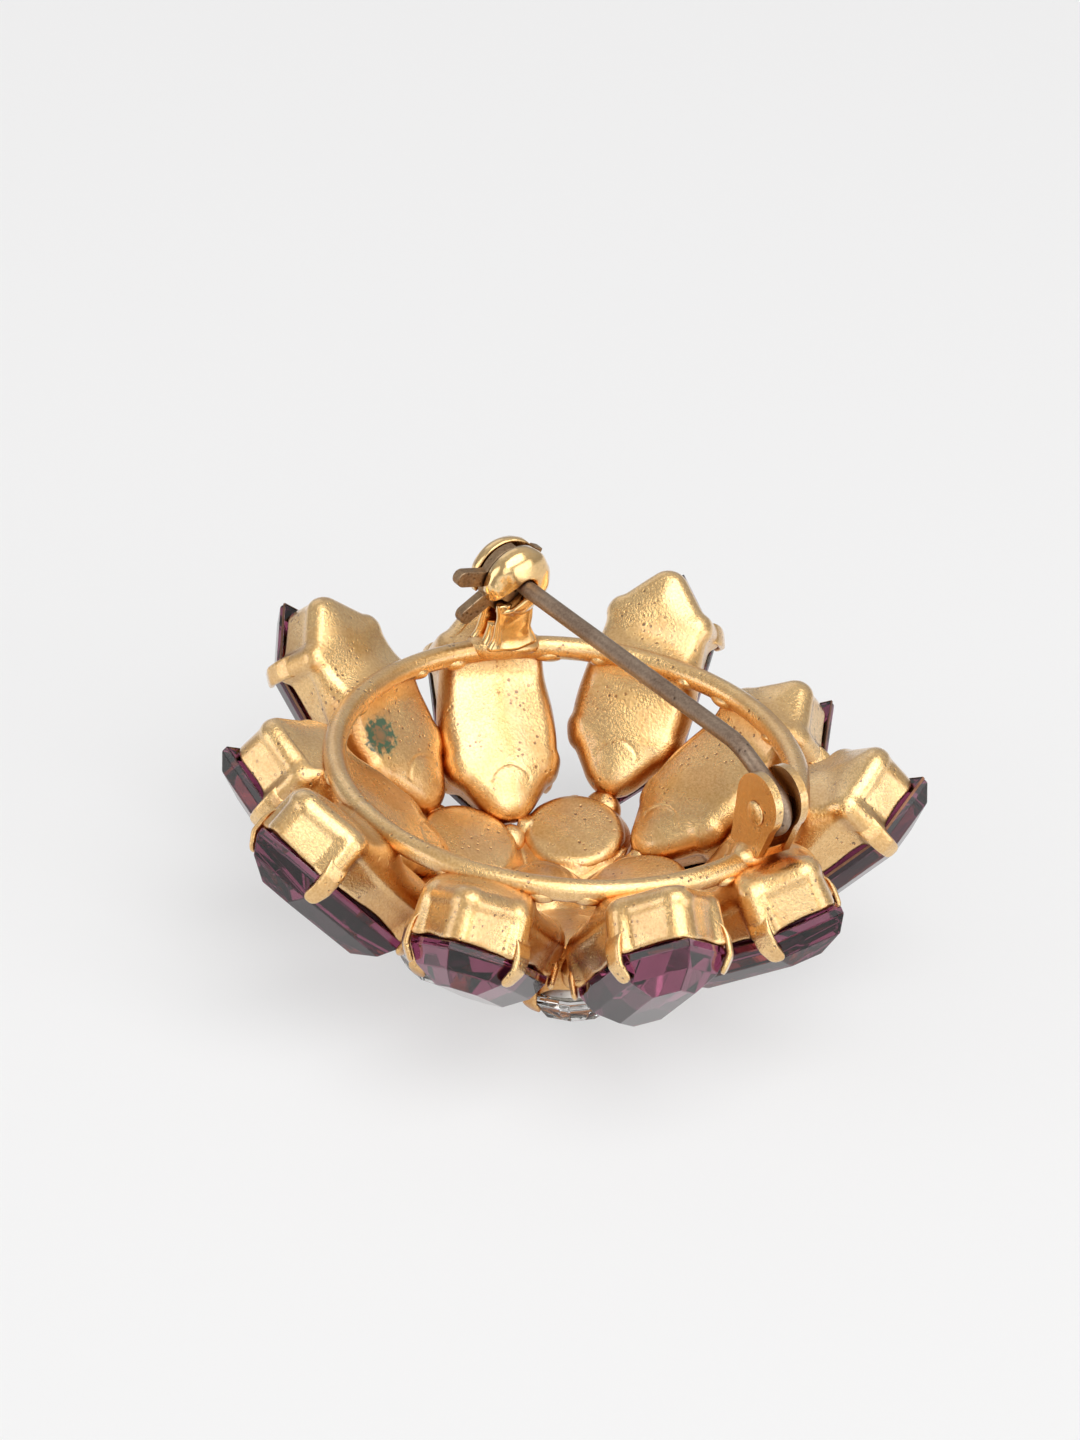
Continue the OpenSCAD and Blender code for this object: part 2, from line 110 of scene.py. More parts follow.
def plate_surface_group():
    """Surface of plated metal: grain height, dark pits, and a slow change of tone over the piece.

    A pit is the middle of a cell, in a share of the cells, and only where a slower noise is high.
    """
    inputs = [("Vector", "Vector")] + [(label + " Scale", "Float") for label in ("Grain", "Pit", "Patch", "Tone")]
    outputs = [(label, "Float") for label in ("Height", "Grain", "Pits", "Tone")]
    group, given, result = new_group("plate_surface", inputs, outputs)
    place = given.outputs["Vector"]
    grain = add(group, "ShaderNodeTexNoise",
                {"Vector": place, "Scale": given.outputs["Grain Scale"], "Detail": 3.0, "Roughness": 0.65})
    cells = add(group, "ShaderNodeTexVoronoi", {"Vector": place, "Scale": given.outputs["Pit Scale"]})
    chosen = add(group, "ShaderNodeSeparateColor", {"Color": cells.outputs["Color"]}).outputs["Red"]
    middles = ramp(group, cells.outputs["Distance"], *pit_edge)
    pits = reckon(group, "MULTIPLY", middles, ramp(group, chosen, *pit_share))
    patch = add(group, "ShaderNodeTexNoise", {"Vector": place, "Scale": given.outputs["Patch Scale"], "Detail": 1.0})
    pits = reckon(group, "MULTIPLY", pits, ramp(group, patch.outputs["Fac"], *pit_patch))
    tone = add(group, "ShaderNodeTexNoise",
               {"Vector": place, "Scale": given.outputs["Tone Scale"], "Detail": 4.0, "Roughness": 0.6})
    height = reckon(group, "SUBTRACT", grain.outputs["Fac"], reckon(group, "MULTIPLY", pits, pit_depth))
    fill(group, result, {"Height": height, "Grain": ramp(group, grain.outputs["Fac"], *noise_middle), "Pits": pits,
                         "Tone": ramp(group, tone.outputs["Fac"], *noise_middle)})
    return group


plate_surface = plate_surface_group()
grain_scale, patch_scale, tone_scale, bump_strength = 5500.0, 330.0, 240.0, 0.9
# Painted shade in hollows starts where the openness to the sky falls below the first of these and is fullest below
# the second; the first value on the next line is its largest share.
open_sky_full, open_sky_none = 0.80, 0.25
painted_shade_share, pit_share_dark, lacquer_ior, rough_span = 0.85, 0.75, 1.75, (0.0, 1.4)
verdigris, stain_rough = (0.030, 0.085, 0.032, 1), 0.85
stain_scale, stain_ragged, stain_edge = 2600.0, 1.3, (1.75, 1.35)
stain_middle, stain_worn = (0.45, 0.15), (0.46, 0.60)


def new_material(name):
    """Empty material with its node tree and its shader node."""
    material = bpy.data.materials.new(name)
    material.use_nodes = True
    return material, material.node_tree, material.node_tree.nodes["Principled BSDF"]


def plated_metal(name, bright, deep, grime, rough, grain_depth, pit_scale=2600.0, shade_reach=1.2, lacquer=0.0,
                 stain=None):
    """Metal whose colour runs from deep to bright with its tone and grain, with grime in its pits.

    In hollows its colour is darkened towards its deep colour taken twice, as painted shade and a painted reflection
    of the metal in itself, and the lacquer is thinned there, so that it shows no sky. A stain, given as a place and a
    radius, is a ragged green spot of verdigris there, worn through in its middle.
    """
    material, tree, shader = new_material(name)
    place = add(tree, "ShaderNodeTexCoord").outputs["Object"]
    scales = {"Grain Scale": grain_scale, "Pit Scale": pit_scale, "Patch Scale": patch_scale,
              "Tone Scale": tone_scale}
    surface = add(tree, "ShaderNodeGroup", {"Vector": place, **scales}, node_tree=plate_surface)
    height, grain, pits, tone = (surface.outputs[label] for label in ("Height", "Grain", "Pits", "Tone"))
    open_sky = add(tree, "ShaderNodeAmbientOcclusion", {"Distance": shade_reach * MM}, samples=8).outputs["AO"]
    # Painted shade and painted reflection: in hollows the colour turns towards the deep colour taken twice, as where
    # the metal mirrors itself in shade.
    painted_shade_mask = ramp(tree, open_sky, open_sky_full, open_sky_none, 0.0, painted_shade_share)
    painted_reflection_colour = tuple(value**2 for value in deep[:3]) + (1,)
    lit = reckon(tree, "MULTIPLY", reckon(tree, "ADD", tone, grain), 0.5)
    colour = mixed(tree, painted_shade_mask, mixed(tree, lit, deep, bright), painted_reflection_colour)
    colour = mixed(tree, reckon(tree, "MULTIPLY", pits, pit_share_dark), colour, grime)
    metal, (low, high) = 1.0, rough
    roughness = ramp(tree, reckon(tree, "ADD", tone, pits), *rough_span, high, low)
    if stain:
        spot_at, spot_r = stain
        noise = add(tree, "ShaderNodeTexNoise", {"Vector": place, "Scale": stain_scale, "Detail": 5.0})
        ragged = noise.outputs["Fac"]
        far = add(tree, "ShaderNodeVectorMath", {0: place, 1: spot_at * MM}, operation="DISTANCE").outputs["Value"]
        far = reckon(tree, "DIVIDE", far, spot_r * MM)
        spot = ramp(tree, reckon(tree, "ADD", far, reckon(tree, "MULTIPLY", ragged, stain_ragged)), *stain_edge)
        bare = reckon(tree, "MAXIMUM", ramp(tree, far, *stain_middle), ramp(tree, ragged, *stain_worn))
        colour = mixed(tree, spot, colour, mixed(tree, bare, verdigris, grime))
        roughness = reckon(tree, "MAXIMUM", roughness, reckon(tree, "MULTIPLY", spot, stain_rough))
        metal = reckon(tree, "SUBTRACT", 1.0, spot)
    bump = add(tree, "ShaderNodeBump", {"Height": height, "Strength": bump_strength, "Distance": grain_depth * MM})
    # The lacquer is thinned in hollows too, a painted shade on its reflection of the sky.
    coat = ramp(tree, open_sky, open_sky_none, open_sky_full, 0.0, lacquer)
    fill(tree, shader, {"Base Color": colour, "Roughness": roughness, "Normal": bump.outputs["Normal"],
                        "Metallic": metal, "Coat Weight": coat, "Coat Roughness": low, "Coat IOR": lacquer_ior})
    return material


gold_colours = ((0.94, 0.63, 0.27, 1), (0.70, 0.385, 0.115, 1), (0.22, 0.11, 0.032, 1))
# The gold's painted shade reaches 5.5 mm into its hollows.
gold_finish = {"rough": (0.20, 0.30), "grain_depth": 0.05, "shade_reach": 5.5, "lacquer": 1.0}
matt_gold = plated_metal("matt_gold", *gold_colours, **gold_finish)
merge_gap = 0.0005


def grid_faces(rows, cols, wrap_rows, wrap_cols):
    """Quads of a grid numbered row by row; a wrapped way joins its last line to its first."""
    row, col = np.meshgrid(np.arange(rows - (not wrap_rows)), np.arange(cols - (not wrap_cols)), indexing="ij")
    next_row, next_col = (row + 1) % rows, (col + 1) % cols
    corners = (row * cols + col, row * cols + next_col, next_row * cols + next_col, next_row * cols + col)
    return np.stack(corners, axis=-1).reshape(-1, 4)


def new_object(name, data):
    """Object of a mesh, lamp or camera, linked to the scene."""
    made = bpy.data.objects.new(name, data)
    bpy.context.scene.collection.objects.link(made)
    return made


def put_on(name, mesh, material, body, stands_for):
    """Object of a finished mesh with its material, which rides a body and stands for the named nodes."""
    mesh.materials.append(material)
    piece = new_object(name, mesh)
    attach(piece, body)
    if stands_for:
        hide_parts(*stands_for)
    return piece


def tubes(*grids):
    """Grids whose every row closes into a ring, with the wraps that make_piece wants."""
    return [(grid, False, True) for grid in grids]


def closed_loops(*grids):
    """Grids whose rows close into rings and whose last row joins the first."""
    return [(grid, True, True) for grid in grids]


def make_piece(name, grids, material=matt_gold, body="brooch", stands_for=(), smooth=True):
    """One piece from grids of points, each with its wraps. Seams and poles merge, and faces turn outwards."""
    points, faces, start = [], [], 0
    for grid, wrap_rows, wrap_cols in grids:
        rows, cols = grid.shape[:2]
        points.append(grid.reshape(-1, 3) * MM)
        faces.append(grid_faces(rows, cols, wrap_rows, wrap_cols) + start)
        start += rows * cols
    mesh = bpy.data.meshes.new(name)
    mesh.from_pydata(np.concatenate(points).tolist(), [], np.concatenate(faces).tolist())
    work = bmesh.new()
    work.from_mesh(mesh)
    bmesh.ops.remove_doubles(work, verts=work.verts, dist=merge_gap * MM)
    bmesh.ops.dissolve_degenerate(work, edges=work.edges, dist=merge_gap * MM)
    bmesh.ops.recalc_face_normals(work, faces=work.faces)
    work.to_mesh(mesh)
    work.free()
    mesh.polygons.foreach_set("use_smooth", np.full(len(mesh.polygons), smooth))
    return put_on(name, mesh, material, body, stands_for)


def wobble(points, size, amount, seed):
    """Moves points by a smooth hand-made unevenness: a sum of sine waves about size long."""
    draw = np.random.default_rng(seed)
    waves = draw.normal(size=(5, 3)) * (2 * np.pi / size) / np.sqrt(3)
    phases = draw.uniform(0, 2 * np.pi, size=(3, 5))
    turns = points @ waves.T
    return points + amount * np.stack([np.sin(turns + phase).mean(axis=-1) for phase in phases], axis=-1)


def full_turn(count):
    """Even angles once round, from 0, without the last one, which would be the first again."""
    return np.linspace(0, 2 * np.pi, count, endpoint=False)


def ring_surface():
    """Torus of the wire. At the joint one end stands proud by a step, with a groove beside it."""
    along = full_turn(400)[:, None]
    round_ = full_turn(32)[None, :]
    past = (along - joint_angle + np.pi) % (2 * np.pi) - np.pi
    groove = groove_deep * np.exp(-((past / groove_half) ** 2))
    proud = joint_step / 2 * np.exp(-np.clip(past, 0, None) / joint_fade) * (past > 0)
    uneven = ring_uneven * np.sin(ring_waves * along + ring_phase)
    wire_r = ring_wire / 2 + ring_plating - groove + uneven + proud
    out = ring_r + wire_r * np.cos(round_)
    return np.stack([out * np.cos(along), out * np.sin(along), ring_z + wire_r * np.sin(round_)], axis=-1)


make_piece("ring_wire", closed_loops(ring_surface()), stands_for=["backing_ring"])


# Petal cups
# Ten deep cups pressed from brass sheet, five in a steep outer tier and five in a flatter
# inner tier. Each has a soft rounded back, an uneven rim and four claws bent over its stone.
# The backs are soldered under the ring and carry the press's round mark near the inner tip.
petal_l, petal_w, petal_point = 17.4, 7.2, 4.0
cup_depth, cup_wall, cup_floor = 4.1, 0.6, 0.7
cup_corner, cup_round, outer_soft = 1.5, 1.6, 0.68
back_corner, back_swell, back_round, back_drop = 2.4, 0.20, 1.5, 0.24
back_from, back_over = 2.0, 0.8
belly, belly_at, belly_l = 0.40, -1.6, 3.0
cup_dome, dent_deep, dent_l, dent_w, dent_x, dent_y = 0.24, 0.08, 3.2, 1.7, (-3, 5), (-1.2, 1.2)
tip_run, tip_l = 2.1, 4.2
rim_lift, rim_near, rim_waves, rim_least = 0.18, 1.5, ((3, 0.45), (8, 0.3)), 0.2
rib_w, rib_proud, rib_top, dip_from = 0.95, 0.46, 0.3, 0.45
lip_under, wall_start, edge_turn = 0.15, 0.05, np.radians(80)
panel_deep, panel_at, panel_soft = 0.13, 0.25, 0.09
mark_at, mark_stray, mark_r, mark_deep, mark_edge = -6.5, 0.35, 1.75, 0.06, 0.08
fillet_h, fillet_w = 1.0, 1.2
claw_w, claw_t, claw_gap, claw_root, claw_reach, claw_short = 1.45, 0.50, 0.03, 2.4, 1.3, 0.1
claw_leave, claw_clear, claw_soft = 0.5, 1.1, 11
claw_foot, claw_tip, claw_taper, claw_thin, claw_square, claw_skew = 0.04, 0.86, 0.35, 0.25, 0.55, 0.24
claw_full, claw_start, claw_grow, claw_end = 1.05, 0.3, 0.4, 0.25
girdle_t, step_h, step_in = 0.5, 1.2, 0.7
solder_film = 0.05
petal_seat = ring_wire / 2 + solder_film
tier_step = np.radians(72)
rose_r, rose_under = 6.2, 0.8
outer_slope, outer_tuck = np.radians(46), 3.0
inner_tuck, inner_over = 0.1, 0.6
outer_run = ring_r - rose_r - outer_tuck
outer_drop = outer_run * np.tan(outer_slope) + petal_seat / np.cos(outer_slope)
inner_run = ring_r - rose_r - inner_tuck
inner_drop = outer_drop + rose_under - inner_over
inner_slope = np.arctan2(inner_drop, inner_run) - np.arcsin(petal_seat / np.hypot(inner_run, inner_drop))
tiers = {
    "outer": (np.radians(54), outer_slope, petal_l / 2 - np.sqrt(outer_run**2 + outer_drop**2 - petal_seat**2)),
    "inner": (np.radians(18), inner_slope, petal_l / 2 - np.sqrt(inner_run**2 + inner_drop**2 - petal_seat**2)),
}
outer_start, inner_start = tiers["outer"][0], tiers["inner"][0]
tip_half = np.arctan2(petal_w / 2, petal_point)
petals = [(tier, number) for tier in tiers for number in range(5)]

# The maker set the petals by eye, so a few stand out of true: slid along, slid aside or turned.
set_along = {("outer", 0): -0.8, ("outer", 1): 0.4, ("outer", 2): 0.4, ("outer", 4): -0.4,
             ("inner", 0): -0.3, ("inner", 1): -0.4}
set_aside = {("outer", 4): 0.6}
set_turn = {("inner", 2): np.radians(-3.5)}


def petal_corners(inset):
    """Six corners of the petal outline, drawn in by inset on every side."""
    half = petal_w / 2 - inset
    tip = petal_l / 2 - inset / np.sin(tip_half)
    side = tip - half / np.tan(tip_half)
    return np.array([[tip, 0], [side, half], [-side, half], [-tip, 0], [-side, -half], [side, -half]])


def distance_gone(points):
    """Distance along a line of points from its first to each of them."""
    return np.concatenate([[0], np.cumsum(np.linalg.norm(np.diff(points, axis=0), axis=1))])


def pointing(angle):
    """Way of length 1 in plan that points at the angle."""
    return np.stack([np.cos(angle), np.sin(angle)], axis=-1)


def soft_outline(corner, count):
    """Petal outline with an arc of radius corner at each corner: evenly spaced points and outward normals."""
    lean = np.pi / 2 - tip_half
    turns = np.array([-lean, lean, np.pi / 2, np.pi - lean, np.pi + lean, 1.5 * np.pi, 2 * np.pi - lean])
    share = np.linspace(0, 1, 24)
    angles = (turns[:-1, None] + np.diff(turns)[:, None] * share).ravel()
    points = np.repeat(petal_corners(corner), len(share), axis=0) + corner * pointing(angles)
    points, angles = np.vstack([points, points[:1]]), np.append(angles, angles[0] + 2 * np.pi)
    run = distance_gone(points)
    even = (np.linspace(0, run[-1], count, endpoint=False) + corner * lean) % run[-1]
    placed = np.stack([np.interp(even, run, points[:, way]) for way in (0, 1)], axis=-1)
    return placed, pointing(np.interp(even, run, angles))


def swung(out, aside, up, angle):
    """Points that lie so far out, aside and up, swung by the angle about the upright axis."""
    x, y = out * np.cos(angle) - aside * np.sin(angle), out * np.sin(angle) + aside * np.cos(angle)
    return np.stack([x, y, up], axis=-1)


def on_tier(points, petal):
    """Carries points from a petal's own place, back at z = 0, to its place on the ring.

    A petal that was set a little out of true is slid along and aside, and turned about its outer tip. The tier's
    slope then tilts it, and its number swings it round the ring.
    """
    start, slope, shift = tiers[petal[0]]
    turn, angle = set_turn.get(petal, 0.0), start + petal[1] * tier_step
    ahead, aside, z = points[..., 0] - petal_l / 2, points[..., 1], points[..., 2] - petal_seat
    x = ahead * np.cos(turn) - aside * np.sin(turn) + petal_l / 2 + shift + set_along.get(petal, 0.0)
    y = ahead * np.sin(turn) + aside * np.cos(turn) + set_aside.get(petal, 0.0)
    out = ring_r + x * np.cos(slope) - z * np.sin(slope)
    up = ring_z + x * np.sin(slope) + z * np.cos(slope)
    return swung(out, y, up, angle)


def cup_surface(petal, seed):
    """Closed sheet cup: inner floor and wall, rolled lip, outer wall, rounded edge, then the domed back.

    The wall goes from the stone's outline at the rim to a rounder outline at the back, whose edge is softest at the
    inner end. It swells into a rib at each claw, with a sunk panel from rib to rib under the edge, and its rim dips
    between the claws. Solder rises in a soft ridge where the ring crosses the back.
    """
    draw = np.random.default_rng(seed)
    slope, shift = tiers[petal[0]][1], tiers[petal[0]][2] + set_along.get(petal, 0.0)
    rim, normal = soft_outline(cup_corner, 288)
    inner_end = 1 / (1 + np.exp((rim[:, :1] - back_from) / back_over))
    back_edge, back_normal = soft_outline(back_corner, len(rim))
    swell = back_swell + belly * np.exp(-(((rim[:, :1] - belly_at) / belly_l) ** 2))
    back_edge = inner_end * (back_edge + swell * back_normal) + (1 - inner_end) * rim
    back_normal = inner_end * back_normal + (1 - inner_end) * normal
    sides = petal_corners(0)[[1, 2, 4, 5]]
    claw_far = np.linalg.norm(rim[:, None] - sides[None], axis=-1).min(axis=1)
    rib = np.exp(-((claw_far / rib_w) ** 4))
    wave = full_turn(len(rim))
    uneven = np.ones(len(rim))
    for count, high in rim_waves:
        uneven += high * np.sin(count * wave + draw.uniform(0, 6))
    lift = rim_lift * (1 - np.exp(-((claw_far / rim_near) ** 2))) * np.clip(uneven, rim_least, None)

    turn, bend = np.linspace(0, np.pi, 7), np.linspace(0, edge_turn, 12)[:, None]
    soft = outer_soft + (1 - outer_soft) * inner_end[:, 0]
    lip_top, wall_top = -cup_depth + cup_wall / 2, -back_drop - cup_round * soft
    up_wall = np.linspace(0, 1, 16)[:, None]
    wall_in = [-cup_floor, -cup_depth / 2, -cup_depth + cup_wall]
    inside = np.concatenate([wall_in, lip_top - cup_wall / 2 * np.sin(turn)])
    height = np.concatenate([
        np.repeat(inside[:, None], len(rim), axis=1),
        (lip_top + lip_under) * (1 - up_wall) + wall_top * up_wall,
        -back_drop - cup_round * soft * (1 - np.sin(bend)),
    ])
    lip_in = np.concatenate([[cup_wall] * len(wall_in), cup_wall / 2 * (1 + np.cos(turn)), np.zeros(len(up_wall))])
    inset = np.concatenate([np.repeat(lip_in[:, None], len(rim), axis=1), back_round * soft * (1 - np.cos(bend))])
    toward = np.concatenate([np.zeros(len(inside)), np.linspace(wall_start, 1, len(up_wall)), np.ones(len(bend))])
    toward = toward[:, None, None]
    low = np.clip(-height / cup_depth, 0, 1)
    outside = (np.arange(len(height)) >= len(wall_in) + len(turn) // 2)[:, None]
    under_edge = 1 / (1 + np.exp((height - wall_top + panel_at) / panel_soft))
    proud = outside * (rib_proud * rib * (rib_top + (1 - rib_top) * low) - panel_deep * under_edge * (1 - rib))
    flat = rim + toward * (back_edge - rim)
    flat = flat + (normal + toward * (back_normal - normal)) * (proud - inset)[..., None]
    dip = np.clip((low - dip_from) / (1 - dip_from), 0, 1) ** 1.5
    walls = np.concatenate([flat, (height + dip * lift)[..., None]], axis=-1)
    half = (petal_l - petal_w) / 2

    def closed(edge, rise, shares):
        """Rows from an edge ring in to the petal's spine, rising by a low dome."""
        spine = np.stack([np.clip(edge[:, 0], -half, half), 0 * edge[:, 0]], axis=-1)
        rows = spine[None] + (edge[None, :, :2] - spine[None]) * shares[:, None, None]
        up = edge[None, :, 2] + rise * (1 - shares[:, None] ** 2)
        return np.concatenate([rows, up[..., None]], axis=-1)

    floor = closed(walls[0], 0.0, np.linspace(0, 1, 5)[:-1])
    back = closed(walls[-1], cup_dome, np.linspace(1, 0, 30)[1:])
    dent_at = np.array([draw.uniform(*dent_x), draw.uniform(*dent_y)])
    apart = np.linalg.norm((back[..., :2] - dent_at) / [dent_l, dent_w], axis=-1)
    from_mark = np.hypot(back[..., 0] - mark_at, back[..., 1] - draw.uniform(-mark_stray, mark_stray))
    pressed = np.exp(-(((from_mark - mark_r) / mark_edge) ** 2))
    outer = np.concatenate([walls, back])
    upper = np.clip(1 + outer[..., 2] / cup_depth, 0, 1)
    outer[..., 0] -= tip_run * upper * np.clip((tip_l - petal_l / 2 - outer[..., 0]) / tip_l, 0, 1) ** 1.2
    outer[-len(back):, :, 2] -= mark_deep * pressed + dent_deep * np.exp(-(apart**2))
    from_ring = outer[..., 0] + shift + outer[..., 1] ** 2 / (2 * ring_r) * np.cos(slope)
    near_back = np.clip(1 + outer[..., 2] / cup_round, 0, 1)
    outer[..., 2] += near_back * fillet_h * np.exp(-((np.abs(from_ring) / fillet_w) ** 1.7))
    return np.concatenate([floor, outer])


def soft_square(count, power):
    """Closed section of half width and height 1: a circle at power 1, and squarer as the power falls."""
    around = full_turn(count)
    ring = np.stack([np.cos(around), np.sin(around)])
    return np.sign(ring) * np.abs(ring) ** power


def claw_surface(corner, facing, wall, root, depth, girdle, run, rise, reach, seed):
    """Strip of sheet swept up the cup's wall and over the stone's edge, tapering to a rounded tip.

    The path lies in the upright plane through corner and facing: five stops, whose bends are smoothed. The section
    is a rounded oblong, thin at the foot, where the strip grows out of the wall, and a little askew at the tip.
    """
    lean = np.arctan2(run, rise)
    middle = claw_gap + claw_t / 2
    edge = -depth - girdle
    slope = np.array([-np.sin(lean), -np.cos(lean)])
    away = np.array([np.cos(lean), -np.sin(lean)])
    bend = np.array([middle, edge - middle * np.tan(lean / 2)])
    tip = np.array([0, edge]) + reach * slope + middle * away
    stops = np.array([[-wall / 2, -root], [middle / 2, -root - claw_leave], [middle, -root - claw_clear], bend, tip])
    gone = distance_gone(stops)
    even = np.linspace(0, gone[-1], 60)
    path = np.stack([np.interp(even, gone, stops[:, way]) for way in (0, 1)], axis=-1)
    window = np.hanning(claw_soft)
    window /= window.sum()
    padded = np.pad(path, ((len(window) // 2,) * 2, (0, 0)), mode="edge")
    smooth = np.stack([np.convolve(padded[:, way], window, "valid") for way in (0, 1)], axis=-1)
    along = np.gradient(smooth, axis=0)
    along /= np.linalg.norm(along, axis=1, keepdims=True)
    across = np.stack([-along[:, 1], along[:, 0]], axis=-1)
    share = np.linspace(0, 1, len(smooth))
    end = np.sqrt(np.clip(1 - np.clip((share - claw_tip) / (1 - claw_tip), 0, 1) ** 2, 0, 1))
    start = np.sqrt(np.clip(1 - np.clip(1 - share / claw_foot, 0, 1) ** 2, 0, 1))
    wide = claw_w / 2 * (claw_full - claw_taper * share**2) * end * start
    grown = claw_start + (1 - claw_start) * np.clip(share / claw_grow, 0, 1) ** 1.5
    blunt = claw_end + (1 - claw_end) * end
    thick = claw_t / 2 * (1 - claw_thin * share**3) * blunt * start * grown * (end > 0)
    square = soft_square(20, claw_square)
    skew = np.random.default_rng(seed).uniform(-claw_skew, claw_skew) * share**2
    side = wide[:, None] * square[0] + skew[:, None]
    out = smooth[:, :1] + (across[:, 0] * thick)[:, None] * square[1]
    up = smooth[:, 1:] + (across[:, 1] * thick)[:, None] * square[1]
    aside = np.array([-np.sin(facing), np.cos(facing)])
    flat = corner + out[..., None] * pointing(facing) + side[..., None] * aside
    return np.concatenate([flat, up[..., None]], axis=-1)


def petal_claws(seed):
    """Four claws, at the side corners of the outline, each facing half way between its two sides."""
    corners = petal_corners(0)
    turn = np.pi / 2 - tip_half / 2
    run = step_in / np.cos(tip_half / 2)
    long_and_short = ((1, turn, claw_reach), (2, np.pi - turn, claw_short), (4, np.pi + turn, claw_short),
                      (5, -turn, claw_reach))
    return [claw_surface(corners[i], angle, cup_wall, claw_root, cup_depth, girdle_t, run, step_h, reach, seed + i)
            for i, angle, reach in long_and_short]


# One outer petal has a spot of verdigris on its back.
spotted_petal, spot_on_back, spot_r = ("outer", 2), np.array([-2.33, 2.01, 0.0]), 1.4
spotted_gold = plated_metal("spotted_gold", *gold_colours, **gold_finish,
                            stain=(on_tier(spot_on_back, spotted_petal), spot_r))
cup_wave, cup_uneven, tier_seed = 4.0, 0.07, {"outer": 100, "inner": 200}
for petal in petals:
    tier, number = petal
    seed = tier_seed[tier] + 10 * number
    surfaces = [wobble(cup_surface(petal, seed), cup_wave, cup_uneven, seed)] + petal_claws(seed)
    make_piece(f"{tier}_petal_cup_{number + 1}", tubes(*(on_tier(grid, petal) for grid in surfaces)),
               spotted_gold if petal == spotted_petal else matt_gold, stands_for=[f"{tier}_cup_{number + 1}"])


# Petal stones
# Long six-sided glass stones, dark purple and step cut, with a foiled back that fills the cup.
# Each lies with its girdle on the cup's rim and is held by the four claws.
slope_h, slope_in = 1.0, 1.5
stone_play, seat_gap, seat_in, seat_h = 0.03, 0.02, 0.12, 0.1
foil_h, foil_in, foil_gap, foil_lip, foil_show = 2.4, 1.8, 0.03, 0.05, 0.14
stone_edge = 0.06
plum = (0.30, 0.065, 0.135, 1)
glass_ior, glass_rough = 1.54, 0.02
scratch_rough, scratch_scale, scratch_show = 0.08, 2600.0, (0.5, 0.75)
streak_scale, streak_deep = 320.0, 0.75


def cut_glass(name, tint):
    """Polished glass: the tint deepens in slow streaks, and fine scratches break its gloss a little."""
    material, tree, shader = new_material(name)
    place = add(tree, "ShaderNodeTexCoord").outputs["Object"]
    streak = add(tree, "ShaderNodeTexNoise", {"Vector": place, "Scale": streak_scale, "Detail": 2.0}).outputs["Fac"]
    worn = add(tree, "ShaderNodeTexNoise", {"Vector": place, "Scale": scratch_scale, "Detail": 4.0}).outputs["Fac"]
    deeper = tuple(value * streak_deep for value in tint[:3]) + (1,)
    colour = mixed(tree, ramp(tree, streak, *noise_middle), deeper, tint)
    roughness = ramp(tree, worn, *scratch_show, glass_rough, scratch_rough)
    fill(tree, shader, {"Base Color": colour, "Roughness": roughness, "IOR": glass_ior, "Transmission Weight": 1.0})
    return material


purple_glass = cut_glass("purple_glass", plum)


def stone_surface(rings):
    """Cut stone through rings of corners, each with its height, closed by a point in its first and last."""
    stack = np.array([np.column_stack([ring, np.full(len(ring), height)]) for ring, height in rings])
    first, last = (np.broadcast_to(ring.mean(axis=0), ring.shape) for ring in (stack[0], stack[-1]))
    return np.concatenate([first[None], stack, last[None]])


def bevelled(piece, width, segments=2, angle=np.radians(12), harden=False):
    """Breaks the piece's edges that are sharper than the angle, as polishing does."""
    modifier = piece.modifiers.new("edges", "BEVEL")
    modifier.width = width * MM
    modifier.segments = segments
    modifier.limit_method = "ANGLE"
    modifier.angle_limit = angle
    modifier.harden_normals = harden


crown_edge = cup_depth + girdle_t
petal_stone = stone_surface((
    (petal_corners(step_in + slope_in), -crown_edge - step_h - slope_h),
    (petal_corners(step_in), -crown_edge - step_h),
    (petal_corners(stone_play), -crown_edge),
    (petal_corners(stone_play), -cup_depth + seat_gap),
    (petal_corners(cup_wall + seat_in), -cup_depth + seat_h),
    (petal_corners(cup_wall + foil_in), -cup_depth + foil_h),
))
petal_foil = stone_surface((
    (petal_corners(cup_wall + seat_in - foil_gap), -cup_depth + seat_h),
    (petal_corners(cup_wall + foil_in - foil_gap), -cup_depth + foil_h + foil_gap),
    (petal_corners(cup_wall + foil_in - 2 * foil_gap), -cup_depth + foil_h + 2 * foil_gap),
    (petal_corners(cup_wall + foil_lip), -cup_depth + seat_h),
))[1:-1]
foil_edge = stone_surface(tuple(
    (petal_corners(inset), -cup_depth + height)
    for inset, height in ((0, foil_lip), (0, -foil_show), (foil_lip, -foil_show), (foil_lip, foil_lip))))[1:-1]

# Three stones have lost the paint on their edge, so that the copper under it shows as a line.
bare_edges = {("outer", 0), ("outer", 2), ("inner", 1)}
copper_foil = plated_metal("copper_foil", (0.30, 0.15, 0.09, 1), (0.17, 0.08, 0.05, 1), (0.06, 0.028, 0.02, 1),
                           rough=(0.3, 0.45), grain_depth=0.01)
mauve_foil = plated_metal("mauve_foil", (0.62, 0.45, 0.50, 1), (0.44, 0.30, 0.35, 1), (0.12, 0.06, 0.07, 1),
                          rough=(0.5, 0.65), grain_depth=0.01)
for petal in petals:
    tier, number = petal
    stone, foil, edge = (on_tier(grid, petal) for grid in (petal_stone, petal_foil, foil_edge))
    piece = make_piece(f"{tier}_petal_stone_{number + 1}", tubes(stone), purple_glass,
                       stands_for=[f"{tier}_stone_{number + 1}"], smooth=False)
    bevelled(piece, stone_edge)
    make_piece(f"{tier}_petal_foil_{number + 1}", closed_loops(foil), mauve_foil, smooth=False)
    if petal in bare_edges:
        make_piece(f"{tier}_petal_foil_edge_{number + 1}", closed_loops(edge), copper_foil,
                   smooth=False)


